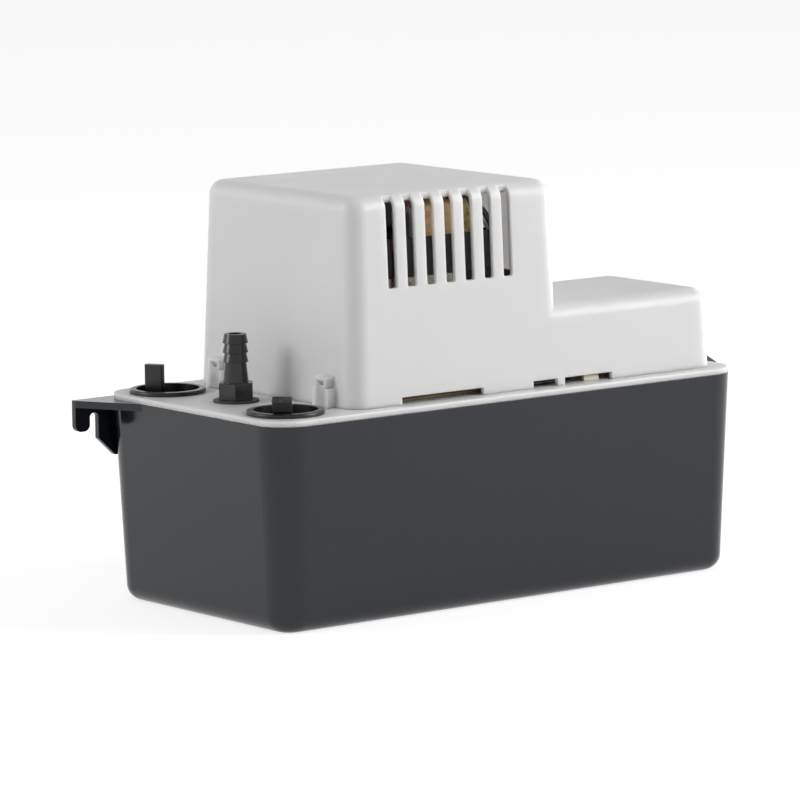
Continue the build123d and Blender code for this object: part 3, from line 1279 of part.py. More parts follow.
def limit_switch(side):
    """A snap switch on end with a pair of ears for its lever on the near face."""
    with BuildPart() as switch:
        with BuildSketch(Plane.XZ.offset(-side)):
            with Locations((switch_x + SWITCH_HEIGHT / 2, switch_z + SWITCH_LENGTH / 2)):
                Rectangle(SWITCH_HEIGHT, SWITCH_LENGTH)
        extrude(amount=SWITCH_WIDTH / 2, both=True)
        chamfer(switch.edges().filter_by(Axis.Y), SWITCH_CHAMFER)
        ear_reach = LEVER_STANDOFF + LEVER_PIN
        with BuildSketch(Plane.XZ.offset(-side)):
            with Locations((switch_x - ear_reach / 2 + SWITCH_EAR_ROOT, lever_pin_z)):
                Rectangle(ear_reach + 2 * SWITCH_EAR_ROOT, 2 * LEVER_PIN)
        extrude(amount=SWITCH_WIDTH / 2 - EDGE_GAP, both=True)
        with Locations((switch_x - ear_reach / 2 - SWITCH_EAR_ROOT, side, lever_pin_z)):
            lever_room = (ear_reach + 2 * SWITCH_EAR_ROOT, LEVER_WIDTH + 2 * EDGE_GAP, 4 * LEVER_PIN)
            Box(*lever_room, mode=Mode.SUBTRACT)
        with BuildSketch(Plane.XZ.offset(-side)):
            with Locations((lever_pin_x, lever_pin_z)):
                Circle(LEVER_PIN / 2 + RUN_GAP)
        extrude(amount=SWITCH_WIDTH, both=True, mode=Mode.SUBTRACT)
        with BuildSketch(Plane.XZ.offset(-side)):
            with Locations(*hole_spots):
                Circle(SMALL_SCREW / 2 + RUN_GAP)
        extrude(amount=SWITCH_WIDTH, both=True, mode=Mode.SUBTRACT)
        # terminals on the far face
        with BuildSketch(Plane.YZ.offset(switch_x + SWITCH_HEIGHT)):
            with Locations((side, switch_z + SWITCH_LENGTH / 2)):
                with GridLocations(0, TERMINAL_PITCH, 1, TERMINAL_COUNT):
                    Rectangle(TERMINAL_WIDTH, TERMINAL_THICK)
        extrude(amount=TERMINAL_LENGTH)
    return switch


def switch_lever(side):
    """A sheet lever that hangs from its pin, splayed off the face of the switch."""
    lever_plane = Plane(
        origin=(lever_pin_x, side, lever_pin_z),
        x_dir=(cos(splay), 0, -sin(splay)),
        z_dir=(0, -1, 0),
    )
    with BuildPart() as lever:
        with BuildSketch(lever_plane):
            with Locations((0, -(LEVER_REACH + LEVER_TAIL) / 2)):
                Rectangle(LEVER_THICK, LEVER_REACH + LEVER_TAIL)
        extrude(amount=LEVER_WIDTH / 2, both=True)
        with BuildSketch(lever_plane):
            Circle(LEVER_PIN / 2)
        extrude(amount=SWITCH_WIDTH / 2 - EDGE_GAP, both=True)
    return lever


run_switch = limit_switch(switch_rows["run"])
finish(run_switch, "run_switch")
safety_switch = limit_switch(switch_rows["safety"])
finish(safety_switch, "safety_switch")
run_lever = switch_lever(switch_rows["run"])
finish(run_lever, "run_lever")
safety_lever = switch_lever(switch_rows["safety"])
finish(safety_lever, "safety_lever")

plate_y = FLOAT_SIDE + switch_span / 2
with BuildPart() as switch_bracket:
    with BuildSketch(Plane.XY.offset(deck_top)):
        with Locations((switch_x + SWITCH_HEIGHT / 2 + BRACKET_MARGIN / 2, FLOAT_SIDE + BRACKET_SHEET / 2)):
            Rectangle(SWITCH_HEIGHT - BRACKET_MARGIN, switch_span + BRACKET_SHEET)
    extrude(amount=BRACKET_SHEET)
    with BuildSketch(Plane.XZ.offset(-plate_y)):
        with Locations((
            switch_x + SWITCH_HEIGHT / 2 + BRACKET_MARGIN / 2,
            (deck_top + switch_z + SWITCH_LENGTH) / 2,
        )):
            Rectangle(SWITCH_HEIGHT - BRACKET_MARGIN, switch_z + SWITCH_LENGTH - deck_top)
        with Locations(*hole_spots):
            Circle(SMALL_SCREW / 2 + RUN_GAP, mode=Mode.SUBTRACT)
    extrude(amount=-BRACKET_SHEET)
finish(switch_bracket, "switch_bracket")

for index, (x, z) in enumerate(hole_spots, 1):
    screw_face = plate_y - switch_span
    with BuildPart() as switch_screw:
        with BuildSketch(Plane.XZ.offset(-screw_face)):
            with Locations((x, z)):
                Circle(SMALL_HEAD / 2)
        extrude(amount=SMALL_HEAD_HEIGHT)
        with BuildSketch(Plane.XZ.offset(-screw_face)):
            with Locations((x, z)):
                Circle(SMALL_SCREW / 2)
        extrude(amount=-(switch_span + BRACKET_SHEET))
    finish(switch_screw, f"switch_screw_{index}")


# ================================================================ insulation and wiring
barrier_x = tall_far - BARRIER_INSET
barrier_near = cover_near + BARRIER_NEAR
with BuildPart() as insulation_barrier:
    with BuildSketch(Plane.XY.offset(deck_top)):
        with Locations(((barrier_near + barrier_x) / 2, 0)):
            Rectangle(barrier_x - barrier_near, 2 * BARRIER_HALF)
        with Locations((shaft_x, shaft_y)):
            Circle(COLUMN_FLANGE / 2, mode=Mode.SUBTRACT)
        with Locations(*front_screws, *back_screws):
            Circle(POST_DIAMETER / 2 + EDGE_GAP, mode=Mode.SUBTRACT)
    extrude(amount=BARRIER_THICK)
    with BuildSketch(Plane.YZ.offset(barrier_x)):
        with Locations((0, deck_top + BARRIER_HEIGHT / 2)):
            Rectangle(2 * BARRIER_HALF, BARRIER_HEIGHT)
        with Locations((FLOAT_SIDE, deck_top + BARRIER_DOOR_HEIGHT / 2 + BARRIER_DOOR_RISE)):
            Rectangle(BARRIER_DOOR_WIDTH, BARRIER_DOOR_HEIGHT, mode=Mode.SUBTRACT)
    extrude(amount=BARRIER_THICK)
finish(insulation_barrier, "insulation_barrier")

block_x = tall_far + BLOCK_PAST_TALL
block_y = -cover_half + BLOCK_INSET
with BuildPart() as terminal_block:
    with BuildSketch(Plane.XY.offset(deck_top)):
        with Locations((block_x, block_y)):
            Rectangle(BLOCK_LENGTH, BLOCK_WIDTH)
    extrude(amount=BLOCK_HEIGHT)
    with BuildSketch(Plane.XY.offset(deck_top + BLOCK_HEIGHT)):
        with Locations((block_x, block_y)):
            with GridLocations(BLOCK_LENGTH / BLOCK_WAYS, 0, BLOCK_WAYS, 1):
                Rectangle(BLOCK_LENGTH / BLOCK_WAYS - 2 * BLOCK_WALL, BLOCK_WIDTH - 2 * BLOCK_RIM)
    extrude(amount=-BLOCK_WELL, mode=Mode.SUBTRACT)
finish(terminal_block, "terminal_block")

connector_x = tall_far + CONNECTOR_PAST_TALL
connector_y = -cover_half + CONNECTOR_INSET
connector_z = deck_top + CONNECTOR_DIAMETER / 2
with BuildPart() as wire_connector:
    with BuildSketch(Plane.XZ.offset(-connector_y)):
        with Locations((connector_x, connector_z)):
            Circle(CONNECTOR_DIAMETER / 2)
    with BuildSketch(Plane.XZ.offset(-connector_y - CONNECTOR_LENGTH)):
        with Locations((connector_x, connector_z)):
            Circle(CONNECTOR_TIP / 2)
    loft()
finish(wire_connector, "wire_connector")

clip_x = tall_far + CLIP_PAST_TALL
with BuildPart() as cable_clip:
    with BuildSketch(Plane.YZ.offset(clip_x)):
        with Locations((connector_y, deck_top)):
            Circle(CLIP_RADIUS)
            Circle(CLIP_RADIUS - CLIP_WALL, mode=Mode.SUBTRACT)
            Rectangle(2 * CLIP_RADIUS, CLIP_RADIUS, align=(Align.CENTER, Align.MAX), mode=Mode.SUBTRACT)
    extrude(amount=CLIP_LENGTH / 2, both=True)
finish(cable_clip, "cable_clip")
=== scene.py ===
from math import cos, radians, sin

import bpy
import numpy as np
from bpy.props import FloatProperty, FloatVectorProperty, PointerProperty
from bpy.types import Operator, Panel, PropertyGroup
from mathutils import Matrix, Vector


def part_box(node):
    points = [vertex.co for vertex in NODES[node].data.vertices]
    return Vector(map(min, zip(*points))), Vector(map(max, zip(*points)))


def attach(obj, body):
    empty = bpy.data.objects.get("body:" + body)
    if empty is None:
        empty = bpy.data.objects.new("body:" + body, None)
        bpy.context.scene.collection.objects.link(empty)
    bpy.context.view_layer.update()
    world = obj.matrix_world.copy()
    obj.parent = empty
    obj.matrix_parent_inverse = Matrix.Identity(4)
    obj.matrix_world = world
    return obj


bl_info = {
    "name": "Condensate Pump Dressing",
    "version": (1, 0, 0),
    "blender": (4, 5, 0),
    "location": "3D View > Sidebar > Pump",
    "description": "Finishes, wiring and a studio stage for a tank-mounted condensate pump",
    "category": "Object",
}

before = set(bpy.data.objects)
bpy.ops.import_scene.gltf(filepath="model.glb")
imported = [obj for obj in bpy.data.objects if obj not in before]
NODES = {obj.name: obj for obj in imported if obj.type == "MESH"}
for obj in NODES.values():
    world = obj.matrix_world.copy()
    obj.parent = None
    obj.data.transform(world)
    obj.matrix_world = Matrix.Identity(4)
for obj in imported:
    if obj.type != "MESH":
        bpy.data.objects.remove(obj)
MM = 0.001

# the sRGB curve, on channels from 0 to 1
SRGB_KNEE = 0.04045
SRGB_SLOPE = 12.92
SRGB_OFFSET = 0.055
SRGB_POWER = 2.4
BLACK = (0, 0, 0, 1)
WHITE = (1, 1, 1, 1)
# a noise seldom leaves this span, so roughness follows it from end to end
NOISE_SPREAD = (0.3, 0.7)


def linear(hex_colour):
    """Turn an sRGB hex value into linear red, green, blue and alpha 1.

    Each channel follows the usual curve: a straight line up to SRGB_KNEE, a power above it.
    """
    srgb = np.array([int(hex_colour[at:at + 2], 16) for at in (0, 2, 4)]) / 255
    bright = ((srgb + SRGB_OFFSET) / (1 + SRGB_OFFSET)) ** SRGB_POWER
    rgb = np.where(srgb <= SRGB_KNEE, srgb / SRGB_SLOPE, bright)
    return (*(float(value) for value in rgb), 1.0)


def add(tree, kind, inputs=None, **properties):
    """Add one shader node, set its properties, and give each named input a value or a link."""
    node = tree.nodes.new("ShaderNode" + kind)
    for name, value in properties.items():
        setattr(node, name, value)
    for name, value in (inputs or {}).items():
        if isinstance(value, bpy.types.NodeSocket):
            tree.links.new(value, node.inputs[name])
        else:
            node.inputs[name].default_value = value
    return node


def per_metre(size_mm):
    """The texture scale at which a pattern repeats about every size_mm."""
    return 1000 / size_mm


def noise(tree, place, size_mm, detail, roughness=0.5):
    """The value of a noise with lumps of about size_mm, and detail finer octaves on them."""
    return add(tree, "TexNoise", {"Vector": place, "Scale": per_metre(size_mm), "Detail": detail,
                                  "Roughness": roughness}).outputs["Fac"]


def ramp(tree, value, start, end, low=0.0, high=1.0, **properties):
    """Carry value from the span start to end onto the span low to high, held at both ends."""
    return add(tree, "MapRange", {"Value": value, "From Min": start, "From Max": end,
                                  "To Min": low, "To Max": high}, **properties).outputs["Result"]


def blend(tree, share, first, second):
    """The first colour where share is 0 and the second where it is 1."""
    return add(tree, "MixRGB", {"Fac": share, "Color1": first, "Color2": second}).outputs["Color"]


def maths(tree, operation, *values, **properties):
    """The result of one operation on its values or links, in their order."""
    inputs = dict(enumerate(values))
    return add(tree, "Math", inputs, operation=operation, **properties).outputs["Value"]


def uneven(tree, pattern, gloss, less, more):
    """Roughness that follows a noise, from less under gloss to more over it."""
    return ramp(tree, pattern, *NOISE_SPREAD, gloss - less, gloss + more)


def relief(tree, height, strength, depth_mm, **inputs):
    """The normal of a surface whose bumps follow height and are depth_mm deep."""
    return add(tree, "Bump", {"Height": height, "Strength": strength, "Distance": depth_mm * MM,
                              **inputs}).outputs["Normal"]


def finish_with(name, nodes_or_pieces):
    """Put the material of that name on every given CAD node or piece."""
    material = bpy.data.materials[name]
    for item in nodes_or_pieces:
        thing = NODES[item] if isinstance(item, str) else item
        thing.data.materials.clear()
        thing.data.materials.append(material)


def start_material(name):
    """A new, empty node tree, and the Object coordinates that its patterns read."""
    material = bpy.data.materials.new(name)
    material.use_nodes = True
    material.node_tree.nodes.clear()
    place = add(material.node_tree, "TexCoord").outputs["Object"]
    return material.node_tree, place


def end_material(tree, colour, roughness, bump, **constants):
    """Join colour, roughness and bump to one Principled shader; constants go on its own sockets."""
    sockets = {key.replace("_", " "): value for key, value in constants.items()}
    shader = add(tree, "BsdfPrincipled", {
        "Base Color": colour, "Roughness": roughness, "Normal": bump, **sockets})
    add(tree, "OutputMaterial", {"Surface": shader.outputs["BSDF"]})


# ---------------------------------------------------------------- materials

# hairline scuffs: where they run, and how sharp and how dull they are
SCUFF_TURN = (0.4, 0.7, 0.5)
SCUFF_STRETCH = (1.0, 12.0, 12.0)
SCUFF_MM = 22
SCUFF_CREST = (0.66, 0.74)
SCUFF_DULLS = 0.25

# dust: specks of SPECK_MM that start to show at the low end of the span
DUST_COLOUR = "B9B5AC"
SPECK_MM = 3.5
DUST_SPREAD = (0.25, 0.75)

# the part of a metal's cloud that passes from bright to tarnished
TARNISH_SPREAD = (0.38, 0.68)

# layers: how much darker and lighter than its colour a sheet or turn may be, and their soil
LAYER_TONE = (0.78, 1.25)
SOIL_MM = 6

# white ABS in a thin wall: light soaks some millimetres in and part of it comes through
THIN_WHITE = {
    "Subsurface_Weight": 0.9,
    "Subsurface_Radius": (1.0, 0.98, 0.96),
    "Subsurface_Scale": 0.008,
}


def moulded(name, colour, shade, gloss, ior=1.52, grain_mm=0.9, grain_depth=0.006,
            mottle_mm=26, scuffs=0.5, dust=0.0, soft_edge=0.35, **constants):
    """An injection-moulded plastic: even colour with faint flow clouding, a fine tool
    grain, hairline scuffs that take the shine off, and edges softened by the mould.

    Colour runs from colour to shade with a cloud of mottle_mm; roughness is gloss plus a
    little cloud plus scuffs; dust is a pale film on faces that look up.
    """
    tree, place = start_material(name)
    cloud = noise(tree, place, mottle_mm, detail=3.0, roughness=0.55)
    clouded = blend(tree, cloud, colour, shade)
    # scuffs: a noise drawn out twelve times along one axis, only its sharpest crests kept
    turned = add(tree, "Mapping", {"Vector": place, "Rotation": SCUFF_TURN,
                                   "Scale": SCUFF_STRETCH}).outputs["Vector"]
    scuff = ramp(tree, noise(tree, turned, SCUFF_MM, detail=2.0), *SCUFF_CREST, high=scuffs)
    up = add(tree, "SeparateXYZ", {"Vector": add(tree, "NewGeometry").outputs["Normal"]}).outputs["Z"]
    settled = maths(tree, "MULTIPLY", up, noise(tree, place, SPECK_MM, detail=6.0, roughness=0.7))
    film = ramp(tree, settled, *DUST_SPREAD, high=dust)
    dusty = blend(tree, film, clouded, linear(DUST_COLOUR))
    dull = uneven(tree, cloud, gloss, less=0.03, more=0.05)
    rough = maths(tree, "MULTIPLY_ADD", scuff, SCUFF_DULLS, dull)
    rounded = add(tree, "Bevel", {"Radius": soft_edge * MM}, samples=4).outputs["Normal"]
    fine = noise(tree, place, grain_mm, detail=2.0)
    bump = relief(tree, fine, strength=0.6, depth_mm=grain_depth, Normal=rounded)
    end_material(tree, dusty, rough, bump, IOR=ior, **constants)


def metal(name, colour, shade, gloss, grain=(1.0, 1.0, 1.0), grain_mm=1.2, grain_depth=0.008,
          tarnish_mm=7, metallic=1.0, **constants):
    """A worked metal: its colour clouds towards shade where it has tarnished, and its grain
    is a noise drawn out along the axis where grain is smallest, which is the way it was
    drawn, turned or rolled."""
    tree, place = start_material(name)
    cloud = noise(tree, place, tarnish_mm, detail=5.0, roughness=0.6)
    tarnished = blend(tree, ramp(tree, cloud, *TARNISH_SPREAD), colour, shade)
    drawn = add(tree, "Mapping", {"Vector": place, "Scale": grain}).outputs["Vector"]
    lines = noise(tree, drawn, grain_mm, detail=4.0)
    rough = uneven(tree, lines, gloss, less=0.08, more=0.1)
    bump = relief(tree, lines, strength=0.7, depth_mm=grain_depth)
    end_material(tree, tarnished, rough, bump, Metallic=metallic, **constants)


def layered(name, colour, gap_colour, axis, pitch_mm, gap_share, gloss, metallic, depth_mm=0.06):
    """Sheets or turns laid on each other: bands across one axis with a thin dark gap.

    The band is the fractional part of the place along the axis over the pitch; the gap is
    where that part is under gap_share. Each sheet's tone differs a little from the next.
    """
    tree, place = start_material(name)
    along = add(tree, "SeparateXYZ", {"Vector": place}).outputs[axis]
    turns = maths(tree, "MULTIPLY", along, per_metre(pitch_mm))
    crown = ramp(tree, maths(tree, "FRACT", turns), 0.0, gap_share, interpolation_type="SMOOTHSTEP")
    which = maths(tree, "FLOOR", turns)
    chance = add(tree, "TexWhiteNoise", {"W": which}, noise_dimensions="1D").outputs["Value"]
    soil = noise(tree, place, SOIL_MM, detail=5.0)
    tone = ramp(tree, maths(tree, "MULTIPLY", chance, soil), 0.0, 1.0, *LAYER_TONE)
    toned = add(tree, "HueSaturation", {"Color": colour, "Value": tone}).outputs["Color"]
    base = blend(tree, crown, gap_colour, toned)
    rough = uneven(tree, soil, gloss, less=0.08, more=0.12)
    bump = relief(tree, crown, strength=0.8, depth_mm=depth_mm)
    end_material(tree, base, rough, bump, Metallic=metallic)


class PumpPlasticSettings(PropertyGroup):
    """Colours of the moulded plastics."""

    tank_colour: FloatVectorProperty(
        name="Tank", description="Black ABS of the reservoir", subtype="COLOR", size=4,
        min=0, max=1, default=linear("0C1420"))
    cover_colour: FloatVectorProperty(
        name="Cover", description="Off-white ABS of the motor cover", subtype="COLOR", size=4,
        min=0, max=1, default=linear("E8E6E5"))
    deck_colour: FloatVectorProperty(
        name="Deck", description="Off-white ABS of the deck", subtype="COLOR", size=4,
        min=0, max=1, default=linear("DEDDDC"))
    natural_colour: FloatVectorProperty(
        name="Wet parts", description="Natural polypropylene of the pump end", subtype="COLOR", size=4,
        min=0, max=1, default=linear("D8D5C8"))
    grain_mm: FloatProperty(
        name="Tool grain", description="Spacing of the mould's fine grain, in millimetres",
        default=0.9, min=0.2, max=5)


class PUMP_OT_plastics(Operator):
    """Give the tank, cover, deck, plugs, fittings and wet parts their moulded plastics"""

    bl_idname = "pump.plastics"
    bl_label = "Moulded Plastics"

    def execute(self, context):
        """Each plastic is made once, then put on every part that is moulded in it."""
        wish = context.scene.pump_plastics
        # gloss black ABS: mirrors pale surroundings softly and shows dust on its ledges
        moulded("moulded ABS, black", wish.tank_colour, linear("090D14"), gloss=0.15, ior=1.49,
                dust=0.25, grain_mm=wish.grain_mm, soft_edge=0.5)
        # satin off-white ABS: broad soft highlights, a trace of warmth in its clouding
        moulded("moulded ABS, off-white cover", wish.cover_colour, linear("E4E2E1"), gloss=0.42,
                grain_mm=wish.grain_mm, grain_depth=0.010, soft_edge=0.5, **THIN_WHITE)
        moulded("moulded ABS, off-white deck", wish.deck_colour, linear("D9D8D6"), gloss=0.38,
                grain_mm=wish.grain_mm, grain_depth=0.010, soft_edge=0.4, **THIN_WHITE)
        # polyethylene closures: waxy black with a soft shine
        moulded("moulded polyethylene, black", linear("0B0B0D"), linear("070708"), gloss=0.28,
                ior=1.51, dust=0.25, soft_edge=0.3)
        # glass-filled nylon: denser black, slightly mottled by its fibres
        moulded("moulded nylon, black", linear("101113"), linear("090A0B"), gloss=0.20, ior=1.53,
                grain_mm=0.5, grain_depth=0.012, dust=0.15, soft_edge=0.2)
        # natural polypropylene: milky, lets a little light in
        moulded("moulded polypropylene, natural", wish.natural_colour, linear("CFCBBB"), gloss=0.40,
                ior=1.49, mottle_mm=12, Subsurface_Weight=0.15, Subsurface_Radius=(0.004, 0.003, 0.002))
        # phenolic: dark brown-black, hard and nearly dull
        moulded("moulded phenolic, brown-black", linear("2B2320"), linear("1D1917"), gloss=0.45,
                ior=1.60, mottle_mm=4, grain_mm=0.4, grain_depth=0.015, soft_edge=0.15)
        # a crimped-on closed-end connector in tinted nylon
        moulded("moulded nylon, orange", linear("B4622A"), linear("9C5122"), gloss=0.32, ior=1.53,
                mottle_mm=6, soft_edge=0.15)
        # soft moulded rubber: no clear highlight, a bloom of talc
        moulded("moulded rubber, black", linear("2A2A2A"), linear("222222"), gloss=0.62, ior=1.52,
                grain_mm=0.35, grain_depth=0.02, dust=0.3, scuffs=0.1, soft_edge=0.3)
        finish_with("moulded ABS, black", ["tank"])
        finish_with("moulded ABS, off-white cover", ["motor_cover"])
        finish_with("moulded ABS, off-white deck", ["deck"])
        finish_with("moulded polyethylene, black", ["inlet_plug_back", "inlet_plug_front"])
        finish_with("moulded nylon, black", ["discharge_fitting", "coil_bobbin", "cooling_fan"])
        finish_with("moulded polypropylene, natural", [
            "check_valve_body", "check_ball", "pump_column", "volute_cover", "impeller",
            "float_arm", "cable_clip"])
        finish_with("moulded phenolic, brown-black", ["run_switch", "safety_switch", "terminal_block"])
        finish_with("moulded nylon, orange", ["wire_connector"])
        finish_with("moulded rubber, black", ["fitting_washer", "cord_bushing", "water_slinger"])
        return {"FINISHED"}


class PumpMotorSettings(PropertyGroup):
    """Colours and pitches of the motor's metals and winding."""

    tape_colour: FloatVectorProperty(
        name="Winding tape", description="Tan cotton tape over the coil", subtype="COLOR", size=4,
        min=0, max=1, default=linear("D6B58A"))
    sheet_mm: FloatProperty(
        name="Lamination", description="Thickness of one sheet of the stack, in millimetres",
        default=0.64, min=0.3, max=2)
    tape_mm: FloatProperty(
        name="Tape pitch", description="Advance of the tape at each turn, in millimetres",
        default=3.6, min=1, max=12)


class PUMP_OT_motor(Operator):
    """Give the motor, the switches, the float and the fasteners their finishes"""

    bl_idname = "pump.motor"
    bl_label = "Motor and Metals"

    def execute(self, context):
        """Each metal is made once, then put on every part that is worked from it."""
        wish = context.scene.pump_motor
        # punched electrical steel: thin dark sheets with a hairline between them
        layered("punched electrical steel, varnished", linear("4A4642"), linear("141312"),
                "Z", wish.sheet_mm, gap_share=0.3, gloss=0.42, metallic=0.7)
        # cotton tape wound edge over edge: a shallow step at each turn
        layered("wound cotton tape, tan", wish.tape_colour, linear("C9A677"), "Z",
                wish.tape_mm, gap_share=0.35, gloss=0.72, metallic=0.0, depth_mm=0.1)
        metal("drawn copper, tarnished", linear("B9714A"), linear("7A4630"), gloss=0.32,
              grain=(1, 1, 0.2))
        metal("pressed steel, black paint", linear("1E1E1F"), linear("2B2A29"), gloss=0.38,
              metallic=0.0, tarnish_mm=9, grain_depth=0.02, IOR=1.5)
        metal("die-cast zinc, as cast", linear("A9ABAC"), linear("86888A"), gloss=0.48, grain_mm=0.7,
              grain_depth=0.03)
        metal("sintered bronze, oiled", linear("9C7440"), linear("6E5230"), gloss=0.40, grain_mm=0.3,
              grain_depth=0.02)
        metal("ground stainless steel", linear("C6C6C6"), linear("A8A9AA"), gloss=0.24,
              grain=(1, 1, 14), grain_mm=3, grain_depth=0.004)
        metal("zinc-plated steel", linear("C9C7BE"), linear("A8A596"), gloss=0.30, grain_mm=0.8)
        # fibre sheet: pressed rag paper, tan, with fibres that show as faint flecks
        metal("vulcanised fibre sheet, tan", linear("C9AC80"), linear("AF9168"), gloss=0.66,
              metallic=0.0, grain=(1, 1, 0.25), grain_mm=0.9, grain_depth=0.03, tarnish_mm=3, IOR=1.54)
        # closed-cell foam: dull, pitted by its cells
        metal("closed-cell foam, cream", linear("CFC9B8"), linear("B9B29E"), gloss=0.82, metallic=0.0,
              grain_mm=1.1, grain_depth=0.12, tarnish_mm=5, IOR=1.45)
        moulded("extruded vinyl tube, clear", linear("C9CFCC"), linear("BEC5C0"), gloss=0.18,
                ior=1.53, mottle_mm=10, scuffs=0.2, Transmission_Weight=0.75)
        finish_with("punched electrical steel, varnished", ["stator_stack", "rotor_core"])
        finish_with("wound cotton tape, tan", ["coil"])
        finish_with("drawn copper, tarnished", ["shading_ring_front", "shading_ring_back"])
        finish_with("pressed steel, black paint", ["frame_strap"])
        finish_with("die-cast zinc, as cast", ["upper_bracket", "lower_bracket"])
        finish_with("sintered bronze, oiled", ["upper_bearing", "lower_bearing"])
        finish_with("ground stainless steel", ["motor_shaft", "float_pin", "run_lever", "safety_lever"])
        screws = [node for node in NODES if "screw" in node]
        finish_with("zinc-plated steel", ["switch_bracket", "lower_strap", *screws])
        finish_with("vulcanised fibre sheet, tan", ["insulation_barrier"])
        finish_with("closed-cell foam, cream", ["float_body"])
        finish_with("extruded vinyl tube, clear", ["discharge_tube"])
        return {"FINISHED"}


# ---------------------------------------------------------------- wiring of the motor

# points along a lead between two stops, and round it; its circle is turned against a slanting line
LEAD_STEPS = 12
LEAD_SIDES = 16
SLANT = (0.31, 0.87, 0.38)

# points round a wrapping, and the power that squares it
WRAP_SIDES = 96
WRAP_POWER = 10

# the tapes at the ends of the winding, in millimetres
TAPE_WIDTH = 4.8
TAPE_INSET = 0.1

# the sleeve on the lower strap: its reach in from the winding's far end, its stop before the
# strap's far end, the depth of strap that it wraps and its own thickness, in millimetres
SLEEVE_REACH = 5.5
SLEEVE_STOP = 1.6
SLEEVE_DEPTH = 1.5
SLEEVE_WALL = 0.25

# the leads, in millimetres: the gap between two of them or one and the sheet, how far they
# stand off the strap, and the wells of the block that they enter, from its near end
LEAD_GAP = 0.3
LEAD_CLEAR = 0.1
FIRST_WELL = 4
WELL_PITCH = 8


def lay_grid(name, points, wrap_both, material):
    """Make one closed piece from a grid of points, rows along it and columns round it.

    Faces join each point to the next one round and the next row, as a whole-array shift of
    the index grid. With wrap_both the last row joins the first; otherwise each end is closed
    by a cap.
    """
    rows, columns = points.shape[:2]
    index = np.arange(rows * columns).reshape(rows, columns)
    below = index if wrap_both else index[:-1]
    above = np.roll(index, -1, axis=0) if wrap_both else index[1:]
    quads = np.stack([below, np.roll(below, -1, axis=1), np.roll(above, -1, axis=1), above], axis=-1)
    faces = quads.reshape(-1, 4).tolist()
    if not wrap_both:
        faces += [index[0][::-1].tolist(), index[-1].tolist()]
    mesh = bpy.data.meshes.new(name)
    mesh.from_pydata(points.reshape(-1, 3).tolist(), [], faces)
    mesh.shade_smooth()
    piece = bpy.data.objects.new(name, mesh)
    bpy.context.scene.collection.objects.link(piece)
    finish_with(material, [piece])
    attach(piece, "housing")
    return piece


def smooth_path(stops, steps):
    """A curve through every stop: between two stops it is the cubic whose slope at a stop
    is half the way from the stop before to the stop after. steps points lie on each piece."""
    ends = np.vstack([2 * stops[0] - stops[1], stops, 2 * stops[-1] - stops[-2]])
    before, start, end, after = ends[:-3], ends[1:-2], ends[2:-1], ends[3:]
    t = np.linspace(0, 1, steps, endpoint=False)[None, :, None]
    leave, arrive = (end - before)[:, None] / 2, (after - start)[:, None] / 2
    start, end = start[:, None], end[:, None]
    curve = ((2 * t**3 - 3 * t**2 + 1) * start + (t**3 - 2 * t**2 + t) * leave
             + (3 * t**2 - 2 * t**3) * end + (t**3 - t**2) * arrive)
    return np.vstack([curve.reshape(-1, 3), stops[-1:]])


def insulated_lead(name, stops, diameter, material):
    """A round insulated wire: a circle of the given diameter carried along a smooth path.

    At each point of the path the circle lies across the path's direction, spanned by the
    cross product of that direction with a fixed slanting line, and by the cross product of
    the two.
    """
    path = smooth_path(np.array(stops, dtype=float) * MM, LEAD_STEPS)
    along = np.gradient(path, axis=0)
    along /= np.linalg.norm(along, axis=1, keepdims=True)
    across = np.cross(along, np.array(SLANT))
    across /= np.linalg.norm(across, axis=1, keepdims=True)
    upright = np.cross(across, along)
    turn = np.linspace(0, 2 * np.pi, LEAD_SIDES, endpoint=False)[None, :, None]
    radius = diameter * MM / 2
    ring = across[:, None] * np.cos(turn) - upright[:, None] * np.sin(turn)
    return lay_grid(name, path[:, None] + radius * ring, False, material)


def wrapping(name, ends, low, high, proud, material):
    """A band wrapped round a bar that lies along X, between its two ends along X.

    low and high are the corners of the bar's section, in Y and Z. Round the bar the band
    follows a squared circle, |y/a|^n + |z/b|^n = 1 with n = WRAP_POWER, which keeps its
    corners about as round as a winding's. Along it the band rises from the bar to proud,
    stays there in three low laps, comes down again, and returns just under the bar's skin,
    so it is a closed ring. All in millimetres.
    """
    start_x, end_x = ends
    middle, half = (low + high) / 2 * MM, (high - low) / 2 * MM
    turn = np.linspace(0, 2 * np.pi, WRAP_SIDES, endpoint=False)
    powers = np.abs(np.cos(turn)) ** WRAP_POWER + np.abs(np.sin(turn)) ** WRAP_POWER
    squared = powers ** (-1 / WRAP_POWER)
    share = np.array([0, 0.03, 0.08, 0.3, 0.33, 0.36, 0.6, 0.63, 0.66, 0.92, 0.97, 1, 0.9, 0.5, 0.1])
    lift = np.array([0, 0.8, 1, 1.1, 0.8, 1, 1.1, 0.8, 1, 1, 0.8, 0, -1, -1, -1]) * proud * MM
    x = (start_x + (end_x - start_x) * share) * MM
    y = middle[0] + (half[0] + lift[:, None]) * squared * np.cos(turn)
    z = middle[1] + (half[1] + lift[:, None]) * squared * np.sin(turn)
    points = np.stack([np.broadcast_to(x[:, None], y.shape), y, z], axis=-1)
    return lay_grid(name, points, True, material)


class PumpWiringSettings(PropertyGroup):
    """Sizes of the motor's leads and tapes."""

    lead_mm: FloatProperty(
        name="Lead", description="Diameter of a motor lead over its insulation, in millimetres",
        default=2.4, min=0.8, max=5)
    thin_lead_mm: FloatProperty(
        name="Thin lead", description="Diameter of the lead of the thermal cut-out, in millimetres",
        default=1.2, min=0.5, max=3)
    wrap_mm: FloatProperty(
        name="Tape", description="How far the end tapes stand proud of the winding, in millimetres",
        default=0.4, min=0.1, max=1)


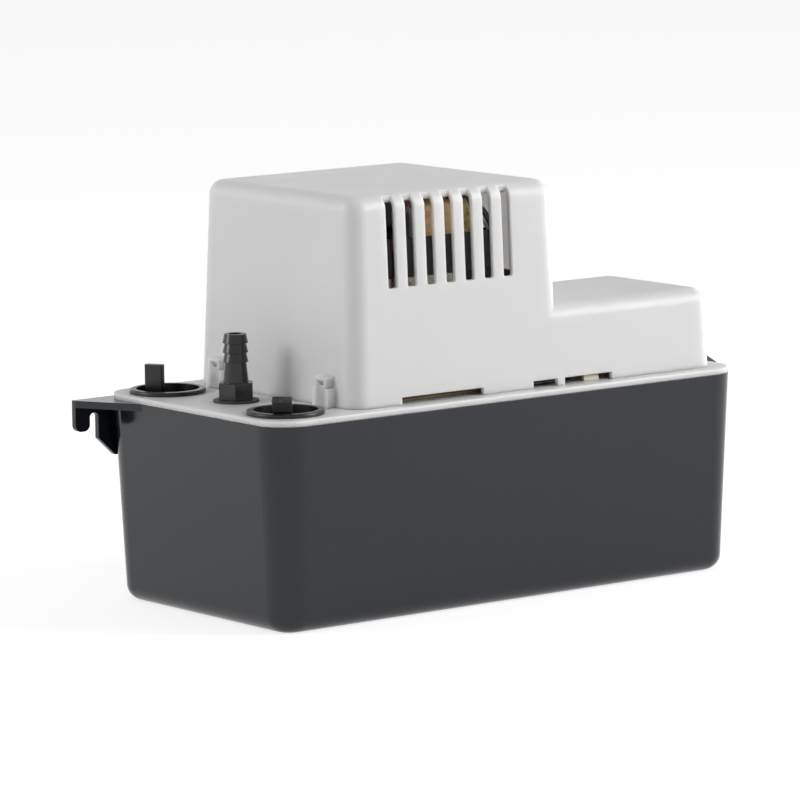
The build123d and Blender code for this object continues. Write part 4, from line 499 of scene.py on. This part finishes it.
class PUMP_OT_wiring(Operator):
    """Wrap the ends of the winding and run its leads to the terminal block"""

    bl_idname = "pump.wiring"
    bl_label = "Motor Wiring"

    def execute(self, context):
        """Make the materials, then lay every piece where the coil, straps and block carry it."""
        wish = context.scene.pump_wiring
        # extruded PVC insulation: soft satin, clouding to a darker shade
        for colour, light, dark, gloss in (
                ("black", "141414", "0D0D0D", 0.34),
                ("red-brown", "7A2A26", "5A1F1C", 0.34),
                ("white", "D6D4CE", "C8C5BD", 0.36)):
            moulded("extruded PVC insulation, " + colour, linear(light), linear(dark), gloss,
                    ior=1.54, grain_mm=1.5, scuffs=0.2, soft_edge=0.1)
        # woven glass tape dipped in varnish: yellow-olive, blotched where varnish gathered
        metal("varnished glass tape, olive", linear("B5A25A"), linear("5E5F33"), gloss=0.45,
              metallic=0.0, grain_mm=0.8, grain_depth=0.05, tarnish_mm=2.2, IOR=1.52)
        # varnished cambric: dark grey-green cloth with a dull shine
        metal("varnished cambric, grey-green", linear("4A5048"), linear("2C302C"), gloss=0.50,
              metallic=0.0, grain_mm=0.7, grain_depth=0.05, tarnish_mm=4, IOR=1.52)
        coil_low, coil_high = np.array(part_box("coil")) / MM
        self.wrap_winding(coil_low, coil_high, wish.wrap_mm)
        self.run_leads(coil_low, coil_high, wish.lead_mm, wish.thin_lead_mm)
        return {"FINISHED"}

    def wrap_winding(self, coil_low, coil_high, proud):
        """A tape round each end of the winding, and a sleeve on the strap past its far end."""
        near, far = coil_low[0], coil_high[0]
        wrapping("coil_tape_near", (near + TAPE_INSET, near + TAPE_WIDTH), coil_low[1:], coil_high[1:],
                 proud, "varnished cambric, grey-green")
        wrapping("coil_tape_far", (far - TAPE_WIDTH, far - TAPE_INSET), coil_low[1:], coil_high[1:],
                 proud, "varnished glass tape, olive")
        strap_low, strap_high = np.array(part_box("lower_strap")) / MM
        section_high = np.array((strap_low[1] + SLEEVE_DEPTH, strap_high[2]))
        wrapping("strap_sleeve", (far - SLEEVE_REACH, strap_high[0] - SLEEVE_STOP), strap_low[1:],
                 section_high, SLEEVE_WALL, "extruded PVC insulation, black")

    def run_leads(self, coil_low, coil_high, lead, thin):
        """Two motor leads go from the top of the coil's far end, down past the end of the
        strap, round the edge of the insulating sheet and into the block, one behind the
        other. The thin lead of the cut-out hangs over the coil's near end, down in front of
        the strap. Each stop is a step in millimetres from what it passes."""
        near, far, coil_front, coil_top = coil_low[0], coil_high[0], coil_low[1], coil_high[2]
        strap_low, strap_high = np.array(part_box("frame_strap")) / MM
        strap_near, strap_front = strap_low[:2]
        strap_end, strap_top = strap_high[0], strap_high[2]
        block_low, block_high = np.array(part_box("terminal_block")) / MM
        barrier_low, barrier_high = np.array(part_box("insulation_barrier")) / MM
        deck = barrier_low[2]
        front = strap_front - LEAD_CLEAR + lead / 2
        sheet = barrier_low[1] - lead / 2 - LEAD_GAP
        for number, colour in enumerate(("black", "white")):
            shift = number * (lead + LEAD_GAP)
            well = block_low[0] + FIRST_WELL + WELL_PITCH * number
            floor = deck + lead / 2 + shift
            route = [
                # out of the winding's top and over its far end
                (far - 5, coil_front + 9 + shift, coil_top - lead),
                (far - 3, coil_front + 8 + shift, coil_top + lead / 2 + 0.2),
                (far + 4, coil_front + 5 + shift, coil_top - 1),
                # down past the strap's end
                (strap_end - 6, front + shift, strap_top + 6),
                (strap_end + lead / 2 + LEAD_CLEAR, front + 1 + shift, strap_top - 11),
                (strap_end + lead, front + 1 + shift, strap_top - 30),
                (strap_end + 6.5, front + 1 + shift / 2, deck + 6 + shift),
                # along the deck, in front of the sheet and round its far edge
                (strap_end + 12.5, sheet, floor),
                (barrier_high[0] + 6, sheet, floor),
                (well - 6, block_low[1] - 9, floor + LEAD_GAP),
                # over the block's wall and down into its well
                (well, block_low[1] - 2.5, block_high[2] + 1.5),
                (well, (block_low[1] + block_high[1]) / 2, block_high[2] - 1.5),
            ]
            insulated_lead("motor_lead_" + colour, route, lead,
                           "extruded PVC insulation, " + colour)
        face = strap_front - thin / 2
        route = [
            # out of the winding's top and over its near end
            (near + 7, coil_front + 6, coil_top - thin / 2),
            (near + 3, coil_front + 3, coil_top + thin / 2),
            (near - 5, face + 1.5, coil_top - 6),
            # down the face of the strap in a lazy wave
            (strap_near + 4, face, strap_top),
            (strap_near + 5.1, face, strap_top - 10),
            (strap_near + 3.9, face, strap_top - 19),
            # and back under the strap to the deck
            (strap_near + 1.5, face + 2, strap_top - 32),
            (strap_near + 0.5, face + 4, deck + 8),
            (strap_near + 6.5, face + 8, deck + thin / 2 + 0.8),
        ]
        insulated_lead("cut_out_lead", route, thin, "extruded PVC insulation, red-brown")


# ---------------------------------------------------------------- studio stage

# white paper: the size of its fibres, how much of its colour is taken off where it is seen
# directly, and the light of its own that it gets there instead
FIBRE_MM = 1.5
PAPER_VEIL = 0.45
PAPER_GLOW = 0.72

# white surroundings, by height above the horizon (0) up to overhead (1): how they dim as a
# light source, and as what a glossy face mirrors
SKY_BAND = (0.05, 0.8)
SKY_TOP = 0.75
MIRRORED_BAND = (0.1, 0.7)
MIRRORED_TOP = 0.3

# each lamp's side, its place and what it faces, in metres
LAMPS = {
    "key": (1.1, (1.35, -1.25, 0.9), (0, 0, 0.1)),
    "fill": (0.8, (-1.6, 0.75, 0.8), (0, 0, 0.1)),
    "back": (0.22, (1.5, 0.05, 0.06), (0, 0, 0.14)),
}

# the camera: degrees round from the front, up and rolled, its lens and sensor in
# millimetres, and the point it looks at and its distance from it in metres
CAMERA_AZIMUTH = 37.78
CAMERA_ELEVATION = 8.07
CAMERA_ROLL = -0.71
CAMERA_LENS = 248.85
CAMERA_SENSOR = 36
CAMERA_SHIFT = (-0.0308, -0.0286)
CAMERA_AIM = (0, 0, 0.09)
CAMERA_DISTANCE = 2.3766
CAMERA_CLIP = (0.05, 50)


class PumpStageSettings(PropertyGroup):
    """Floor, lamps and surroundings of the studio."""

    floor_side: FloatProperty(
        name="Floor", description="Side of the square floor", unit="LENGTH", default=8.0, min=1)
    key_power: FloatProperty(
        name="Key lamp", description="Power of the large lamp in front of the far end", unit="POWER",
        default=28.5, min=0)
    fill_power: FloatProperty(
        name="Fill lamp", description="Power of the lamp behind the near end", unit="POWER",
        default=12.5, min=0)
    back_power: FloatProperty(
        name="Back lamp", description="Power of the small low lamp beyond the far end",
        unit="POWER", default=4.0, min=0)
    ambient: FloatProperty(
        name="Ambient", description="Brightness of the white surroundings as they light the pump",
        default=0.52, min=0, max=1)


def aim_lamp(name, power, size, place, target):
    """A square area lamp at place, turned so that it faces target."""
    data = bpy.data.lights.new(name, "AREA")
    data.energy = power
    data.size = size
    lamp = bpy.data.objects.new(name, data)
    lamp.location = place
    lamp.rotation_euler = (Vector(target) - Vector(place)).to_track_quat("-Z", "Y").to_euler()
    bpy.context.scene.collection.objects.link(lamp)


class PUMP_OT_stage(Operator):
    """Lay the pale floor, light it softly and set the camera"""

    bl_idname = "pump.stage"
    bl_label = "Studio Stage"

    def execute(self, context):
        """The floor, the white surroundings, the three lamps and the camera."""
        wish = context.scene.pump_stage
        self.lay_floor(wish.floor_side)
        self.light(wish)
        self.set_camera()
        context.scene.view_settings.view_transform = "Standard"
        return {"FINISHED"}

    def lay_floor(self, side):
        """A square of the given side at height 0, which the camera sees as white paper with
        the pump's shadow on it: part of its light is its own, part is what falls on it."""
        half = side / 2
        outline = np.array([(-half, -half, 0), (half, -half, 0), (half, half, 0), (-half, half, 0)])
        mesh = bpy.data.meshes.new("floor")
        mesh.from_pydata(outline.tolist(), [], [(0, 1, 2, 3)])
        floor = bpy.data.objects.new("floor", mesh)
        bpy.context.scene.collection.objects.link(floor)
        tree, place = start_material("matt white paper")
        tone = blend(tree, noise(tree, place, FIBRE_MM, detail=3.0), linear("F2F2F2"), linear("EEEEEE"))
        seen = add(tree, "LightPath").outputs
        direct = maths(tree, "ADD", seen["Is Camera Ray"], seen["Is Glossy Ray"])
        any_seen = maths(tree, "ADD", direct, seen["Is Transmission Ray"], use_clamp=True)
        veil = maths(tree, "MULTIPLY", any_seen, PAPER_VEIL)
        paper = add(tree, "BsdfDiffuse", {"Color": blend(tree, veil, tone, BLACK)}).outputs["BSDF"]
        own = maths(tree, "MULTIPLY", any_seen, PAPER_GLOW)
        glow = add(tree, "Emission", {"Color": WHITE, "Strength": own}).outputs["Emission"]
        both = add(tree, "AddShader", {0: paper, 1: glow}).outputs["Shader"]
        add(tree, "OutputMaterial", {"Surface": both})
        finish_with("matt white paper", [floor])

    def light(self, wish):
        """White surroundings for what is seen directly and dimmer ones as a light source;
        a large key lamp in front of the far end, a weaker one behind the near end, and a
        small low one beyond the far end."""
        world = bpy.data.worlds.new("white studio")
        bpy.context.scene.world = world
        world.use_nodes = True
        tree = world.node_tree
        tree.nodes.clear()
        seen = add(tree, "LightPath").outputs
        any_seen = maths(tree, "ADD", seen["Is Camera Ray"], seen["Is Transmission Ray"],
                         use_clamp=True)
        upward = add(tree, "TexCoord").outputs["Generated"]
        height = add(tree, "SeparateXYZ", {"Vector": upward}).outputs["Z"]
        sky = ramp(tree, height, *SKY_BAND, wish.ambient, SKY_TOP * wish.ambient)
        mirrored = ramp(tree, height, *MIRRORED_BAND, 1.0, MIRRORED_TOP)
        light = ramp(tree, seen["Is Glossy Ray"], 0.0, 1.0, sky, mirrored)
        strength = ramp(tree, any_seen, 0.0, 1.0, light)
        back = add(tree, "Background", {"Color": WHITE, "Strength": strength}).outputs["Background"]
        add(tree, "OutputWorld", {"Surface": back})
        for name, (size, place, target) in LAMPS.items():
            aim_lamp(name, getattr(wish, name + "_power"), size, place, target)

    def set_camera(self):
        """A long lens from in front of the near end, a little above the rim. The camera's
        place is the aim point plus the distance along the direction back to the camera."""
        azimuth = radians(CAMERA_AZIMUTH)
        elevation = radians(CAMERA_ELEVATION)
        roll = radians(CAMERA_ROLL)
        back = Vector((-sin(azimuth) * cos(elevation), -cos(azimuth) * cos(elevation), sin(elevation)))
        level_right = Vector((cos(azimuth), -sin(azimuth), 0))
        level_up = back.cross(level_right)
        right = cos(roll) * level_right + sin(roll) * level_up
        up = -sin(roll) * level_right + cos(roll) * level_up
        data = bpy.data.cameras.new("camera")
        data.lens = CAMERA_LENS
        data.sensor_width = CAMERA_SENSOR
        data.shift_x, data.shift_y = CAMERA_SHIFT
        data.clip_start, data.clip_end = CAMERA_CLIP
        camera = bpy.data.objects.new("camera", data)
        turned = Matrix((right, up, back)).transposed().to_4x4()
        camera.matrix_world = Matrix.Translation(Vector(CAMERA_AIM) + back * CAMERA_DISTANCE) @ turned
        bpy.context.scene.collection.objects.link(camera)
        bpy.context.scene.camera = camera


class PUMP_PT_panel(Panel):
    """The dressing's operators and settings, in the 3D view's sidebar"""

    bl_label = "Condensate Pump"
    bl_idname = "PUMP_PT_panel"
    bl_space_type = "VIEW_3D"
    bl_region_type = "UI"
    bl_category = "Pump"

    def draw(self, context):
        """One button for each operator, with its settings under it."""
        for operator, settings in OPERATORS:
            self.layout.operator(operator.bl_idname)
            group = getattr(context.scene, settings)
            for name in group.__annotations__:
                self.layout.prop(group, name)


OPERATORS = [
    (PUMP_OT_plastics, "pump_plastics"),
    (PUMP_OT_motor, "pump_motor"),
    (PUMP_OT_wiring, "pump_wiring"),
    (PUMP_OT_stage, "pump_stage"),
]
SETTINGS = {
    "pump_plastics": PumpPlasticSettings,
    "pump_motor": PumpMotorSettings,
    "pump_wiring": PumpWiringSettings,
    "pump_stage": PumpStageSettings,
}
CLASSES = [*SETTINGS.values(), *(operator for operator, _ in OPERATORS), PUMP_PT_panel]


def register():
    """Register every class and give the scene its settings."""
    for item in CLASSES:
        bpy.utils.register_class(item)
    for name, group in SETTINGS.items():
        setattr(bpy.types.Scene, name, PointerProperty(type=group))


def unregister():
    """Take the settings and the classes away again."""
    for name in SETTINGS:
        delattr(bpy.types.Scene, name)
    for item in reversed(CLASSES):
        bpy.utils.unregister_class(item)


def main():
    """Dress the pump piece by piece."""
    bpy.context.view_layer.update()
    register()
    bpy.ops.pump.plastics()
    bpy.ops.pump.motor()
    bpy.ops.pump.wiring()
    bpy.ops.pump.stage()


if __name__ == "__main__":
    main()
